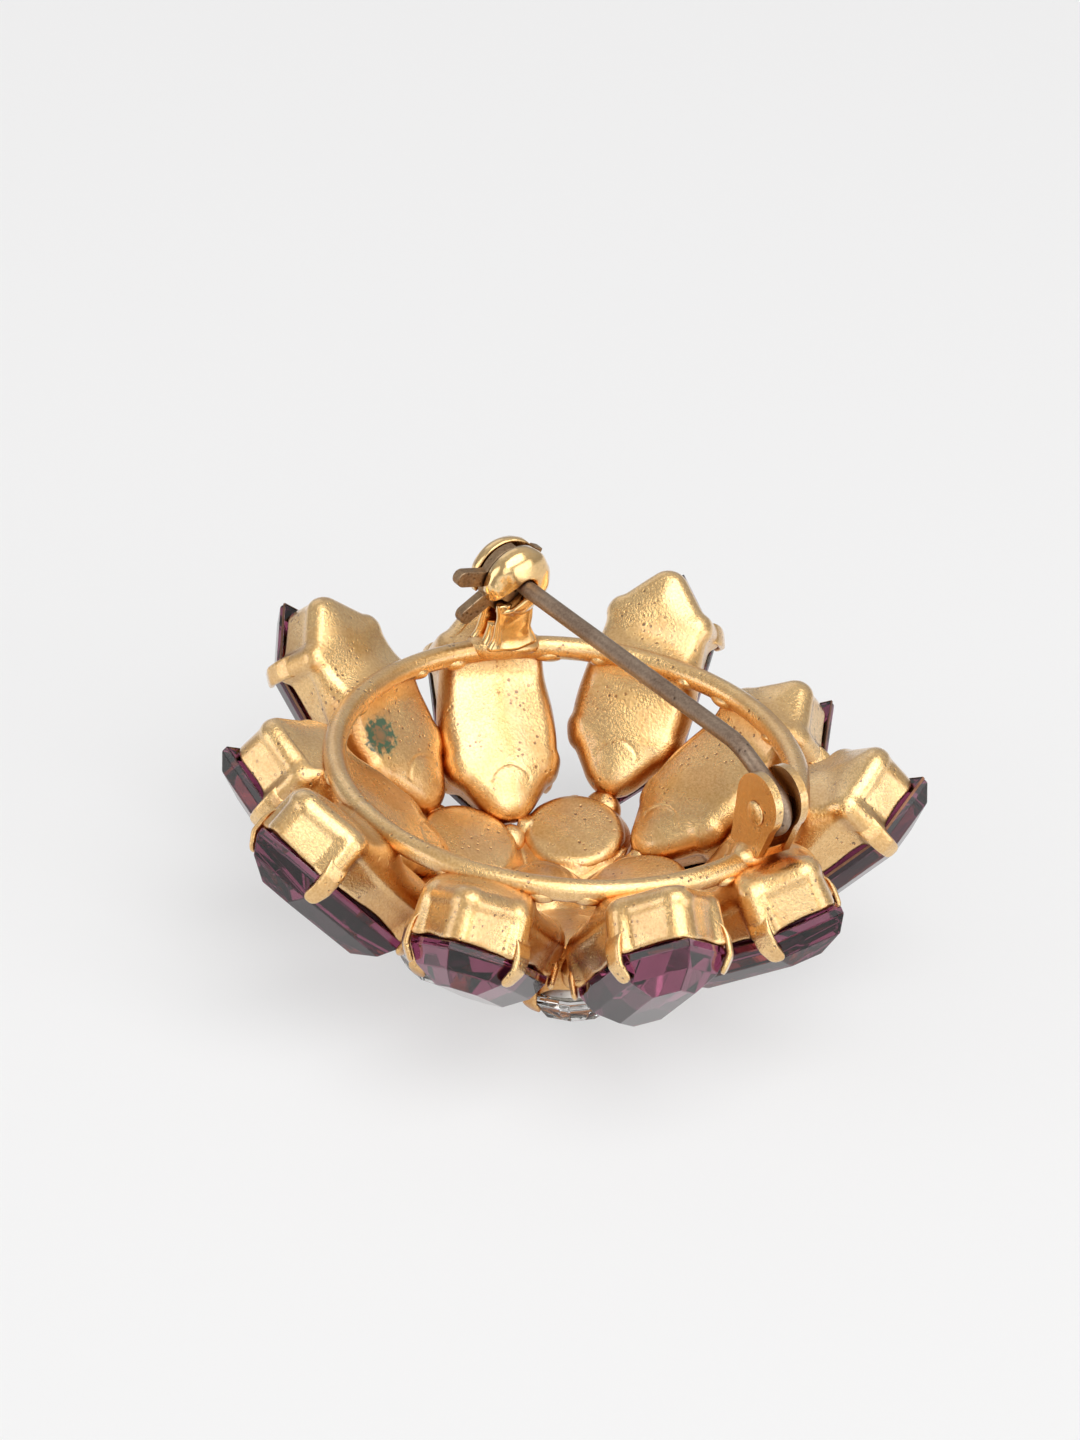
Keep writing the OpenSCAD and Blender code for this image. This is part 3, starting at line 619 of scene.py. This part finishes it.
# Round cups
# Five round sheet cups and a smaller one in the middle, soldered together as a rosette under
# the petals' inner ends, with claws bent over their clear stones.
rose_tilt = np.radians(15)
clear_d, round_depth, round_round, round_wall, round_dome = 7.5, 4.0, 0.8, 0.5, 0.12
floor_corner, just_inside, round_wave, round_uneven, middle_uneven = 0.3, 0.01, 3.0, 0.05, 0.04
clear_girdle, clear_crown, clear_table, round_reach = 0.3, 1.6, 0.55, 0.9
clear_h = round_depth + clear_girdle + clear_crown
middle_gap = 0.15
centre_d = 2 * (rose_r - middle_gap) - clear_d
rose_z = ring_z - outer_drop - rose_under
prongs, scallop, prong_half = np.radians([25, 115, 205, 295]), 0.75, np.radians(17)

# The rosette was set by eye too: it stands a little to one side, with two of its cups further out.
rose_set, rose_off = (0.0, 0.0, 0.0, 0.4, 0.7), np.array([-0.5, -0.62, 0.0])


def in_rosette(points, number):
    """Carries points from a round cup's own place, back at z = 0, to its place in the rosette."""
    x, y, z = points[..., 0], points[..., 1], points[..., 2]
    out = rose_r + rose_set[number] + x * np.cos(rose_tilt) - z * np.sin(rose_tilt)
    up = rose_z + x * np.sin(rose_tilt) + z * np.cos(rose_tilt)
    return swung(out, y, up, outer_start + number * tier_step) + rose_off


def turned(profile, count):
    """Surface that a profile of radius and height sweeps about the upright axis."""
    angle = full_turn(count)
    radius, height = profile[:, :1], profile[:, 1:]
    return np.stack([radius * np.cos(angle), radius * np.sin(angle), height + 0 * angle], axis=-1)


def round_cup_surface(d, facings):
    """Round sheet cup: inner floor and wall, rolled lip, outer wall, rounded edge and low domed back.

    Its rim is scooped out between the claws, so that the claws grow from it.
    """
    inner, lip = d / 2 - round_wall, round_wall / 2
    back_r = d / 2 - lip
    turn, bend, inwards = np.linspace(0, np.pi, 7), np.linspace(0, np.pi / 2, 8), np.linspace(1, 0, 12)[1:]
    radius = np.concatenate([[0, inner / 2, inner - floor_corner, inner], back_r - lip * np.cos(turn),
                             back_r - round_round * (1 - np.cos(bend)), (back_r - round_round) * inwards])
    height = np.concatenate([[-round_wall] * 3, [-round_wall - floor_corner],
                             -round_depth + lip * (1 - np.sin(turn)), round_round * (np.sin(bend) - 1),
                             round_dome * (1 - inwards**2)])
    cup = turned(np.column_stack([radius, height]), 144)
    angle = np.arctan2(cup[..., 1], cup[..., 0])
    apart = np.abs((angle[..., None] - facings + np.pi) % (2 * np.pi) - np.pi).min(axis=-1)
    on_wall = np.hypot(cup[..., 0], cup[..., 1]) > inner - just_inside
    low = np.clip(-cup[..., 2] / round_depth, 0, 1) ** 2 * on_wall
    cup[..., 2] += scallop * low * (1 - np.exp(-((apart / prong_half) ** 2)))
    return cup


def round_claws(d, facings, seed):
    """Claws on a round cup's rim, one for each facing, bent over the crown of its stone."""
    r = d / 2
    run = r * (1 - clear_table)
    return [claw_surface(r * pointing(facing), facing, round_wall, round_round + round_wall, round_depth,
                         clear_girdle, run, clear_crown, round_reach, seed + i)
            for i, facing in enumerate(facings)]


for number in range(5):
    surfaces = [wobble(round_cup_surface(clear_d, prongs), round_wave, round_uneven, seed=300 + number)]
    surfaces += round_claws(clear_d, prongs, seed=310 + 10 * number)
    make_piece(f"rosette_cup_{number + 1}", tubes(*(in_rosette(grid, number) for grid in surfaces)),
               stands_for=[f"round_cup_{number + 1}"])
middle_up = np.array([0, 0, clear_h]) + rose_off
middle_prongs = inner_start + np.arange(5) * tier_step
surfaces = [wobble(round_cup_surface(centre_d, middle_prongs), round_wave, middle_uneven, seed=390)]
surfaces += round_claws(centre_d, middle_prongs, seed=391)
make_piece("rosette_middle_cup", tubes(*(grid + middle_up for grid in surfaces)), stands_for=["centre_cup"])


# Clear stones
# Round clear glass stones with eight-sided crowns and silver foil on their pointed backs. They
# sit on the rims of the round cups, and their tables are what the brooch lies on.
clear_sides, centre_sides = 8, 10
clear_back, clear_point, clear_play, clear_seat = 2.0, 0.35, 0.02, 0.05
silver_gap, silver_t, silver_lip = 0.02, 0.04, 0.015
clear_glass = cut_glass("clear_glass", (0.97, 0.97, 0.96, 1))
silver_foil = plated_metal("silver_foil", (0.90, 0.89, 0.86, 1), (0.74, 0.71, 0.66, 1), (0.30, 0.24, 0.18, 1),
                           rough=(0.25, 0.40), grain_depth=0.01)


def round_stone(d, sides, turn):
    """Brilliant: table, flat crown sides down to a girdle, then a blunt cone inside the cup."""
    r = d / 2
    edge = round_depth + clear_girdle
    angle = np.arange(sides) * 2 * np.pi / sides + turn + np.pi / sides
    spokes = pointing(angle)
    girdle, seat = r - clear_play, r - round_wall - clear_seat
    return stone_surface((
        (spokes * r * clear_table / np.cos(np.pi / sides), -edge - clear_crown),
        (spokes * girdle, -edge),
        (spokes * girdle, -round_depth),
        (spokes * seat, -round_depth + clear_seat),
        (spokes * seat * clear_point, -round_depth + clear_back),
    ))


def foil_surface(d):
    """Thin silvered cone just behind a stone's back, with a rim that shows round the girdle."""
    seat = d / 2 - round_wall - clear_seat + silver_gap
    point = seat * (clear_point + silver_gap)
    low, high = -round_depth + clear_seat + silver_gap / 2, -round_depth + clear_back + silver_gap
    front = [[seat, low], [point, high], [0, high]]
    back = [[0, high + silver_t], [point + seat * silver_gap, high + silver_t], [seat + silver_lip, low + silver_t]]
    return turned(np.array(front + back + front[:1]), 48)


for number in range(5):
    stone = in_rosette(round_stone(clear_d, clear_sides, 0.0), number)
    foil = in_rosette(foil_surface(clear_d), number)
    piece = make_piece(f"rosette_stone_{number + 1}", tubes(stone), clear_glass,
                       stands_for=[f"clear_stone_{number + 1}"], smooth=False)
    bevelled(piece, stone_edge)
    make_piece(f"rosette_foil_{number + 1}", tubes(foil), silver_foil)
stone = round_stone(centre_d, centre_sides, inner_start) + middle_up
piece = make_piece("rosette_middle_stone", tubes(stone), clear_glass, stands_for=["centre_stone"],
                   smooth=False)
bevelled(piece, stone_edge)
make_piece("rosette_middle_foil", tubes(foil_surface(centre_d) + middle_up), silver_foil)


# Hinge bracket and rivet
# A strip of gold-plated sheet bent into a foot and two round ears, soldered on the ring. A
# short rivet with hammered heads goes through the ears and the eye of the pin.
joints = {joint["name"]: joint for joint in frame["joints"]}
hinge_at = np.array(joints["pin_hinge"]["pos_m"]) / MM
rivet_d, rivet_head_d, rivet_head_h, rivet_play, ear_out, ear_edge = 1.2, 1.7, 0.28, 0.02, 1.32, 0.26
rivet_wave, rivet_uneven = 1.5, 0.03
solid_merge, solid_flat, solid_sharp = 0.002, np.radians(1), np.radians(35)


def softened(name, node, width, material=matt_gold, body="brooch"):
    """Copy of a solid's mesh with merged seams, small rounded edges and smooth curves."""
    mesh = frame["nodes"][node].data.copy()
    work = bmesh.new()
    work.from_mesh(mesh)
    bmesh.ops.remove_doubles(work, verts=work.verts, dist=solid_merge * MM)
    bmesh.ops.dissolve_limit(work, angle_limit=solid_flat, verts=work.verts, edges=work.edges)
    work.to_mesh(mesh)
    work.free()
    mesh.materials.clear()
    mesh.polygons.foreach_set("use_smooth", np.full(len(mesh.polygons), True))
    mesh.set_sharp_from_angle(angle=solid_sharp)
    piece = put_on(name, mesh, material, body, [node])
    bevelled(piece, width, segments=3, angle=solid_sharp, harden=True)


softened("hinge_ears", "hinge_bracket", ear_edge)
dome = np.linspace(0, np.pi / 2, 8)
head = np.column_stack([rivet_head_d / 2 * np.cos(dome), ear_out + rivet_play + rivet_head_h * np.sin(dome)])
rivet_profile = np.vstack([head[::-1] * [1, -1], [[rivet_d / 2, -ear_out], [rivet_d / 2, ear_out]], head])
rivet = wobble(turned(rivet_profile, 40)[..., [0, 2, 1]] + hinge_at, rivet_wave, rivet_uneven, seed=400)
make_piece("hinge_pin_rivet", tubes(rivet), stands_for=["hinge_rivet"])


# Pin stem
# One length of hard wire, worn brown: an eye round the rivet, a bend, a straight run to the
# catch and a ground point. It swings on the rivet.
bend_back, bend_r, eye_wrap, eye_play = 4.2, 5.0, np.radians(250), 0.05
point_l, point_blunt, point_round, pin_under = 6.2, 0.25, 0.3, 0.012
pin_wave, pin_uneven, eye_end = 6.0, 0.012, (0.75, 0.0)
pin_mount = next(mount for mount in frame["record"]["mounts"] if mount["name"] == "pin_wire")
pin_r = pin_mount["dims"]["r_mm"]
run_way = -np.array(pin_mount["axis"])
run_middle = np.array(pin_mount["pos_m"]) / MM
run_half = pin_mount["dims"]["length_mm"] / 2
worn_wire = plated_metal("worn_wire", (0.40, 0.30, 0.22, 1), (0.23, 0.155, 0.11, 1), (0.06, 0.035, 0.022, 1),
                         rough=(0.38, 0.55), grain_depth=0.025, shade_reach=0.8)


def pin_path():
    """Middle line of the wire in its upright plane: point, straight run, bend, drop, and the eye's arc."""
    bend_start = run_middle + run_way * run_half
    corner = bend_start + run_way * (hinge_at[0] - bend_back - bend_start[0]) / run_way[0]
    tangent = np.linalg.norm(corner - bend_start)
    turn = 2 * np.arctan2(tangent, bend_r)
    rise = np.arctan2(run_way[2], run_way[0])
    fall = rise - turn
    tip = run_middle - run_way * (run_half + point_l)
    middle = bend_start + bend_r * np.array([np.sin(rise), 0, -np.cos(rise)])
    arc = np.linspace(rise, fall, 24)[1:] + np.pi / 2
    bend = middle + bend_r * np.stack([np.cos(arc), 0 * arc, np.sin(arc)], axis=-1)
    eye_r = rivet_d / 2 + eye_play + pin_r
    wrap = np.linspace(fall + np.pi / 2, fall + np.pi / 2 - eye_wrap, 60)
    eye = hinge_at + eye_r * np.stack([np.cos(wrap), 0 * wrap, np.sin(wrap)], axis=-1)
    straight = tip + np.linspace(0, 1, 90)[:, None] * (bend_start - tip)
    drop = bend[-1] + np.linspace(0, 1, 14)[1:-1, None] * (eye[0] - bend[-1])
    return np.concatenate([straight, bend, drop, eye])


def wire_surface(path, radius, sides=24):
    """Round wire of a changing radius along a path that lies in one upright plane."""
    along = np.gradient(path, axis=0)
    along /= np.linalg.norm(along, axis=1, keepdims=True)
    aside = np.array([0.0, 1.0, 0.0])
    over = np.cross(along, aside)
    around = full_turn(sides)
    section = np.cos(around)[None, :, None] * aside + np.sin(around)[None, :, None] * over[:, None]
    return path[:, None] + radius[:, None, None] * section


path = pin_path()
gone = distance_gone(path)
wire_r = (pin_r - pin_under) * np.clip(point_blunt + (1 - point_blunt) * (gone / point_l) ** 0.8, 0, 1)
wire_r = np.minimum(wire_r, np.sqrt(np.clip(gone / point_round, 0, 1)) * wire_r.max())
wire_r[-2:] *= eye_end
wire = wobble(wire_surface(path, wire_r), pin_wave, pin_uneven, seed=410)
make_piece("pin_wire_stem", tubes(wire), worn_wire, body="pin", stands_for=["pin_stem"])


# Catch body
# A turned brass catch, bright gold: two domed cheeks on a waisted neck, slotted from the top so
# that each half stands as a leaf, with a mouth cut in from one side for the pin. It is soldered
# on the ring by its foot.
catch_at = np.array(joints["catch_roll"]["pos_m"]) / MM
cheek_r, catch_t, cheek_edge, cheek_break, slot_w = 2.55, 4.4, 0.45, 0.06, 1.0
mouth_w, mouth_dip, hub_r, hub_deep, bore_rim = 1.6, np.radians(38), 1.66, 0.51, 0.2
neck_d, foot_d, foot_h, foot_spread, leaf_x, leaf_square, slot_deep = 2.9, 4.0, 1.8, 0.25, 1.3, 0.7, 3.4
leaf_tuck, core_tuck, core_fall = 0.15, 0.1, 0.08
cheek_wave, cheek_uneven, leaf_wave, leaf_uneven = 1.7, 0.07, 2.0, 0.10
foot_low = ring_z + petal_seat - catch_at[2]
bright_gold = plated_metal("bright_gold", (0.94, 0.65, 0.29, 1), (0.80, 0.49, 0.17, 1), (0.16, 0.075, 0.025, 1),
                           rough=(0.10, 0.20), grain_depth=0.012, pit_scale=700.0, lacquer=1.0)


def cheek_surface(side):
    """Domed cheek on one side of the slot. A loop of inner face, edge, dome and bore goes round the axis from
    one wall of the mouth to the other. The mouth keeps its width, so its half angle falls with the radius.
    """
    dome_h = (catch_t - slot_w) / 2 - cheek_edge
    reach = np.linspace(mouth_w / 2, cheek_r, 18)
    bulge = slot_w / 2 + cheek_edge + dome_h * np.sqrt(np.clip(1 - (reach / cheek_r) ** 2, 0, 1)) ** 1.1
    face = np.linspace(hub_r + bore_rim, cheek_r - cheek_break, 4)
    radius = np.concatenate([[mouth_w / 2, hub_r, hub_r], face, [cheek_r], reach[::-1]])
    height = np.concatenate([[hub_deep] * 2, [0] * (1 + len(face)), [cheek_break]]) + slot_w / 2
    height = np.concatenate([height, bulge[::-1]])
    share = np.linspace(0, 1, 90)
    gap = np.arcsin(np.clip(mouth_w / 2 / radius, 0, 1))
    angle = np.pi + mouth_dip + gap[:, None] + share[None] * (2 * np.pi - 2 * gap[:, None])
    y, z = radius[:, None] * np.cos(angle), radius[:, None] * np.sin(angle)
    loop = np.stack([side * height[:, None] + 0 * angle, y, z], axis=-1)
    walls = [np.stack([loop[:, end], np.broadcast_to(loop[:, end].mean(axis=0), loop[:, end].shape)])
             for end in (0, -1)]
    return [(loop + catch_at, True, False)] + tubes(*(wall + catch_at for wall in walls))


def leaf_surface(inner, outer, low, high, fall):
    """Upright of the pedestal between two distances from the middle of the slot: soft oblongs whose flanks flare
    towards the foot. A fall keeps its flanks that much inside those of the full width.
    """
    height = np.linspace(low, high, 22)[:, None]
    flare = np.clip(1 - (height - foot_low) / foot_h, 0, 1) ** 2
    half_y = neck_d / 2 + (foot_d - neck_d) / 2 * flare - fall
    far = outer * (1 + foot_spread * flare)
    square = soft_square(48, leaf_square)
    x = (inner + far) / 2 + (far - inner) / 2 * square[0]
    wall = np.stack([x, half_y * square[1], height + 0 * x], axis=-1)
    ends = [np.broadcast_to(row.mean(axis=0), row.shape)[None] for row in (wall[0], wall[-1])]
    return np.concatenate([ends[0], wall, ends[1]])


surfaces = [(wobble(grid, cheek_wave, cheek_uneven, seed=430), rows, cols)
            for side in (-1, 1) for grid, rows, cols in cheek_surface(side)]
leaf = leaf_surface(slot_w / 2, leaf_x, foot_low, leaf_tuck - hub_r, 0.0)
core = leaf_surface(-slot_w / 2 - core_tuck, slot_w / 2 + core_tuck, foot_low, -slot_deep, core_fall)
leaves = [wobble(leaf * [side, 1, 1] + catch_at, leaf_wave, leaf_uneven, seed=420) for side in (-1, 1)]
surfaces += tubes(*leaves, core + catch_at)
make_piece("catch_cheeks", surfaces, bright_gold, stands_for=["catch_body"])


# Catch rotor
# A flat stamped disc with a hub that turns in the cheeks, a mouth for the pin and two finger
# lugs. Rolling the lugs over the top brings its mouth to the mouth of the cheeks.
worn_disc = plated_metal("worn_disc", (0.42, 0.295, 0.18, 1), (0.23, 0.14, 0.08, 1), (0.06, 0.035, 0.02, 1),
                         rough=(0.34, 0.52), grain_depth=0.03, shade_reach=0.6)
disc_edge = 0.09
softened("catch_roller", "catch_rotor", disc_edge, worn_disc, "rotor")


# Solder
# Gold-plated solder: one web that runs between the round cups, balls that join the petals' inner
# ends and the walls of the round cups, mounds in which the bracket and the catch stand, and small
# lumps where the ring crosses the petals.
web_t, web_under, web_fall, web_blend, web_past, web_tip = 0.5, 0.12, 1.1, 0.22, 0.35, 1.0
web_below, web_lap, web_least, web_wave, web_uneven = 1.3, 0.3, 0.2, 2.0, 0.08
foot_rise, foot_wave = 0.35, 2.0
foot_mounds = ((hinge_at, (2.1, 1.3, 0.95), 601), (catch_at, (2.7, 1.5, 0.95), 602))
lump_rise, lump_off, lump_stray, lump_l, lump_w, lump_h = -0.35, 0.3, 0.03, (0.7, 1.3), (0.8, 1.0), 0.6
tip_past, tip_under, tip_wave = 1.2, 1.3, 1.6
tip_balls = {"outer": (1.7, 1.35, 0.85), "inner": (1.1, 1.0, 0.7)}
wall_ball, wall_under, wall_wave = (1.15, 0.55, 0.85), 1.9, 0.9
solder_uneven = 0.10


def web_heights(x, y):
    """Top of the solder over a plan point: the smooth highest of all cup backs, each falling off past its edge.

    The point is given from the rosette's middle, and the petals' tips are reckoned from the ring's.
    """
    out, turn = np.hypot(x, y), np.arctan2(y, x)
    from_x, from_y = x + rose_off[0], y + rose_off[1]
    ring_out, ring_turn = np.hypot(from_x, from_y), np.arctan2(from_y, from_x)
    heights = [clear_h - web_under - web_fall * np.clip(out - centre_d / 2 + web_lap, 0, None)]
    for number in range(5):
        off = turn - outer_start - number * tier_step
        ahead, aside = out * np.cos(off) - rose_r, out * np.sin(off)
        past = np.clip(np.hypot(ahead, aside) - clear_d / 2 + round_round, 0, None)
        heights.append(rose_z + ahead * np.tan(rose_tilt) - web_under - web_fall * past)
    for start, slope, shift in tiers.values():
        tip = shift - petal_l / 2 + web_tip
        tip_out = ring_r + petal_seat * np.sin(slope) + tip * np.cos(slope)
        tip_up = ring_z - petal_seat * np.cos(slope) + tip * np.sin(slope)
        for number in range(5):
            off = ring_turn - start - number * tier_step
            ahead, aside = ring_out * np.cos(off) - tip_out, ring_out * np.sin(off)
            past = np.clip(np.hypot(ahead, aside) - web_tip / 2, 0, None)
            heights.append(tip_up - web_below - web_fall * past)
    stack = np.array(heights) / web_blend
    top = stack.max(axis=0)
    return web_blend * (top + np.log(np.exp(stack - top).sum(axis=0)))


def web_surface():
    """Closed sheet over the rosette in plan, whose edge follows the round cups a little way outside them."""
    turn = full_turn(360)
    off = (turn - outer_start + tier_step / 2) % tier_step - tier_step / 2
    cup_part = np.clip((clear_d / 2) ** 2 - (rose_r * np.sin(off)) ** 2, web_least, None)
    edge = rose_r * np.cos(off) + np.sqrt(cup_part)
    share = np.linspace(0, 1, 90)[:, None]
    out = share * (edge + web_past)
    x, y = out * np.cos(turn), out * np.sin(turn)
    top = np.stack([x, y, web_heights(x, y)], axis=-1)
    under = top[::-1] - [0, 0, web_t]
    return wobble(np.concatenate([top, under]) + rose_off, web_wave, web_uneven, seed=600)


def ball():
    """Ball of radius 1, as three grids: along its axis, and the two ways across it."""
    u, v = np.meshgrid(np.linspace(0, np.pi, 24), full_turn(40), indexing="ij")
    return np.cos(u), np.sin(u) * np.cos(v), np.sin(u) * np.sin(v)


def ring_mound(at, half, seed, rise):
    """Ball stretched along the ring wire and bent with it, at a place on it."""
    along, out, up = (way * size for way, size in zip(ball(), half))
    turn = np.arctan2(at[1], at[0]) + along / ring_r
    mound = np.stack([(ring_r + out) * np.cos(turn), (ring_r + out) * np.sin(turn), ring_z + rise + up], axis=-1)
    return wobble(mound, foot_wave, solder_uneven, seed)


def tip_ball(half, seed):
    """Ball of solder at a petal's inner tip, in the petal's own place, reaching on to the rosette."""
    middle = np.array([-petal_l / 2 - tip_past, 0, -tip_under])
    return wobble(np.stack(ball(), axis=-1) * half + middle, tip_wave, solder_uneven, seed)


def cup_ball(facing, seed):
    """Ball of solder on a round cup's wall, in the cup's own place, between two petals' inner ends."""
    up, ahead, aside = (way * size for way, size in zip(ball(), wall_ball))
    return wobble(swung(ahead + clear_d / 2, aside, up - wall_under, facing), wall_wave, solder_uneven, seed)


balls = [on_tier(tip_ball(tip_balls[tier], 640 + number), (tier, number)) for tier, number in petals]
balls += [in_rosette(cup_ball(side * tier_step / 4, 660 + number), number) for number in range(5) for side in (-1, 1)]
make_piece("tip_solder", tubes(*balls))
make_piece("cup_solder", tubes(web_surface()))
make_piece("foot_solder", tubes(*(ring_mound(at, half, seed, foot_rise) for at, half, seed in foot_mounds)))
draw = np.random.default_rng(603)
turns = inner_start + (np.arange(20) // 2 + np.tile([-lump_off, lump_off], 10)) * tier_step / 2
turns += draw.normal(0, lump_stray, len(turns))
lumps = [ring_mound(pointing(turn), (draw.uniform(*lump_l), draw.uniform(*lump_w), lump_h), 610 + i,
                    lump_rise) for i, turn in enumerate(turns)]
make_piece("ring_solder", tubes(*lumps))


# Stage
# Plain pale floor, one large soft lamp overhead, soft fills, and a camera where the photograph
# was taken from: above the rim of the brooch, a little rolled. The floor and lamps are in metres,
# the camera's distance and aim in millimetres, and its focal length in pixels of the photograph.
floor_half, paper_grey, paper_glow = 1.5, 0.32, 0.57
room_low, room_front, room_back = 0.38, 0.47, 0.60
light_front, light_back = 0.78, 0.10
mirrored_from, mirrored_above, light_from, lamp_level = (-0.2, 0.3), (0.05, 0.75), (-0.7, 0.3), (0.0, 1.0, 0.1)
view_azimuth, view_elevation, view_roll = np.radians((52.25, 30.68, 5.76))
view_distance, view_aim = 400.0, (1.80, -3.00)
view_focal, photo_height, sensor = 6013.3, 1440, 36.0

corners = np.array([[[-1, -1, 0], [1, -1, 0]], [[-1, 1, 0], [1, 1, 0]]]) * floor_half
floor_mesh = bpy.data.meshes.new("floor")
floor_mesh.from_pydata(corners.reshape(-1, 3).tolist(), [], [[0, 1, 3, 2]])
floor = new_object("floor", floor_mesh)
paper, tree, shader = new_material("paper")
rays = add(tree, "ShaderNodeLightPath").outputs
mirrored_or_through = reckon(tree, "MAXIMUM", rays["Is Glossy Ray"], rays["Is Transmission Ray"])
looked_at = reckon(tree, "MAXIMUM", rays["Is Camera Ray"], mirrored_or_through)
fill(tree, shader, {"Base Color": (paper_grey, paper_grey, paper_grey, 1), "Roughness": 0.8,
                    "Specular IOR Level": 0.2, "Emission Color": (1.0, 0.995, 0.995, 1),
                    "Emission Strength": reckon(tree, "MULTIPLY", looked_at, paper_glow)})
floor_mesh.materials.append(paper)

world = bpy.data.worlds.new("studio")
bpy.context.scene.world = world
world.use_nodes = True
tree = world.node_tree
glossy = add(tree, "ShaderNodeLightPath").outputs["Is Glossy Ray"]
way = add(tree, "ShaderNodeTexCoord").outputs["Generated"]
above = add(tree, "ShaderNodeSeparateXYZ", {"Vector": way}).outputs["Z"]
view_cos, view_sin = np.cos(view_azimuth), np.sin(view_azimuth)
away = (-view_sin, view_cos, 0)
behind = add(tree, "ShaderNodeVectorMath", {0: way, 1: away}, operation="DOT_PRODUCT").outputs["Value"]
overhead = ramp(tree, behind, *mirrored_from, room_front, room_back)
mirrored = ramp(tree, above, *mirrored_above, room_low, overhead)
scattered = ramp(tree, behind, *light_from, light_front, light_back)
room = add(tree, "ShaderNodeMix", {0: glossy, 2: scattered, 3: mirrored}, data_type="FLOAT").outputs[0]
fill(tree, tree.nodes["Background"], {"Color": (1, 1, 1, 1), "Strength": room})

spin = np.array([[view_cos, -view_sin, 0], [view_sin, view_cos, 0], [0, 0, 1]])


def lamp(name, place, size, watts):
    """Square soft lamp at a place seen from the camera (right, away, up, in metres), turned to the brooch."""
    data = bpy.data.lights.new(name, "AREA")
    data.size = size
    data.energy = watts
    made = new_object(name, data)
    back = spin @ np.array(place, float)
    back_axis = back / np.linalg.norm(back)
    side = np.cross(lamp_level, back_axis)
    side /= np.linalg.norm(side)
    turn = np.column_stack([side, np.cross(back_axis, side), back_axis])
    made.matrix_world = Matrix.Translation(back) @ Matrix(turn.tolist()).to_4x4()


lamp("top_softbox", (0.16, -0.24, 0.59), 0.60, 3.0)
lamp("front_fill", (0.10, -0.80, 0.38), 0.60, 1.3)
lamp("left_fill", (-0.64, -0.24, 0.18), 0.42, 0.9)
lamp("right_fill", (0.60, -0.32, 0.14), 0.44, 1.2)
lamp("back_card", (-0.35, 0.60, 0.45), 0.50, 0.3)

ahead = np.array([0, np.cos(view_elevation), -np.sin(view_elevation)])
level_up = np.array([0, np.sin(view_elevation), np.cos(view_elevation)])
level_right = np.array([1.0, 0, 0])
right = np.cos(view_roll) * level_right + np.sin(view_roll) * level_up
up = np.cos(view_roll) * level_up - np.sin(view_roll) * level_right
stand = -(view_aim[0] * right + view_aim[1] * up + view_distance * ahead)
camera_data = bpy.data.cameras.new("camera")
camera_data.sensor_fit = "VERTICAL"
camera_data.sensor_height = sensor
camera_data.lens = view_focal / photo_height * sensor
camera_data.clip_start = 0.01
camera = new_object("camera", camera_data)
turn = spin @ np.column_stack([right, up, -ahead])
place = (spin @ stand + [0, 0, ring_z]) * MM
camera.matrix_world = Matrix.Translation(place) @ Matrix(turn.tolist()).to_4x4()
bpy.context.scene.camera = camera
bpy.context.scene.view_settings.view_transform = "Standard"
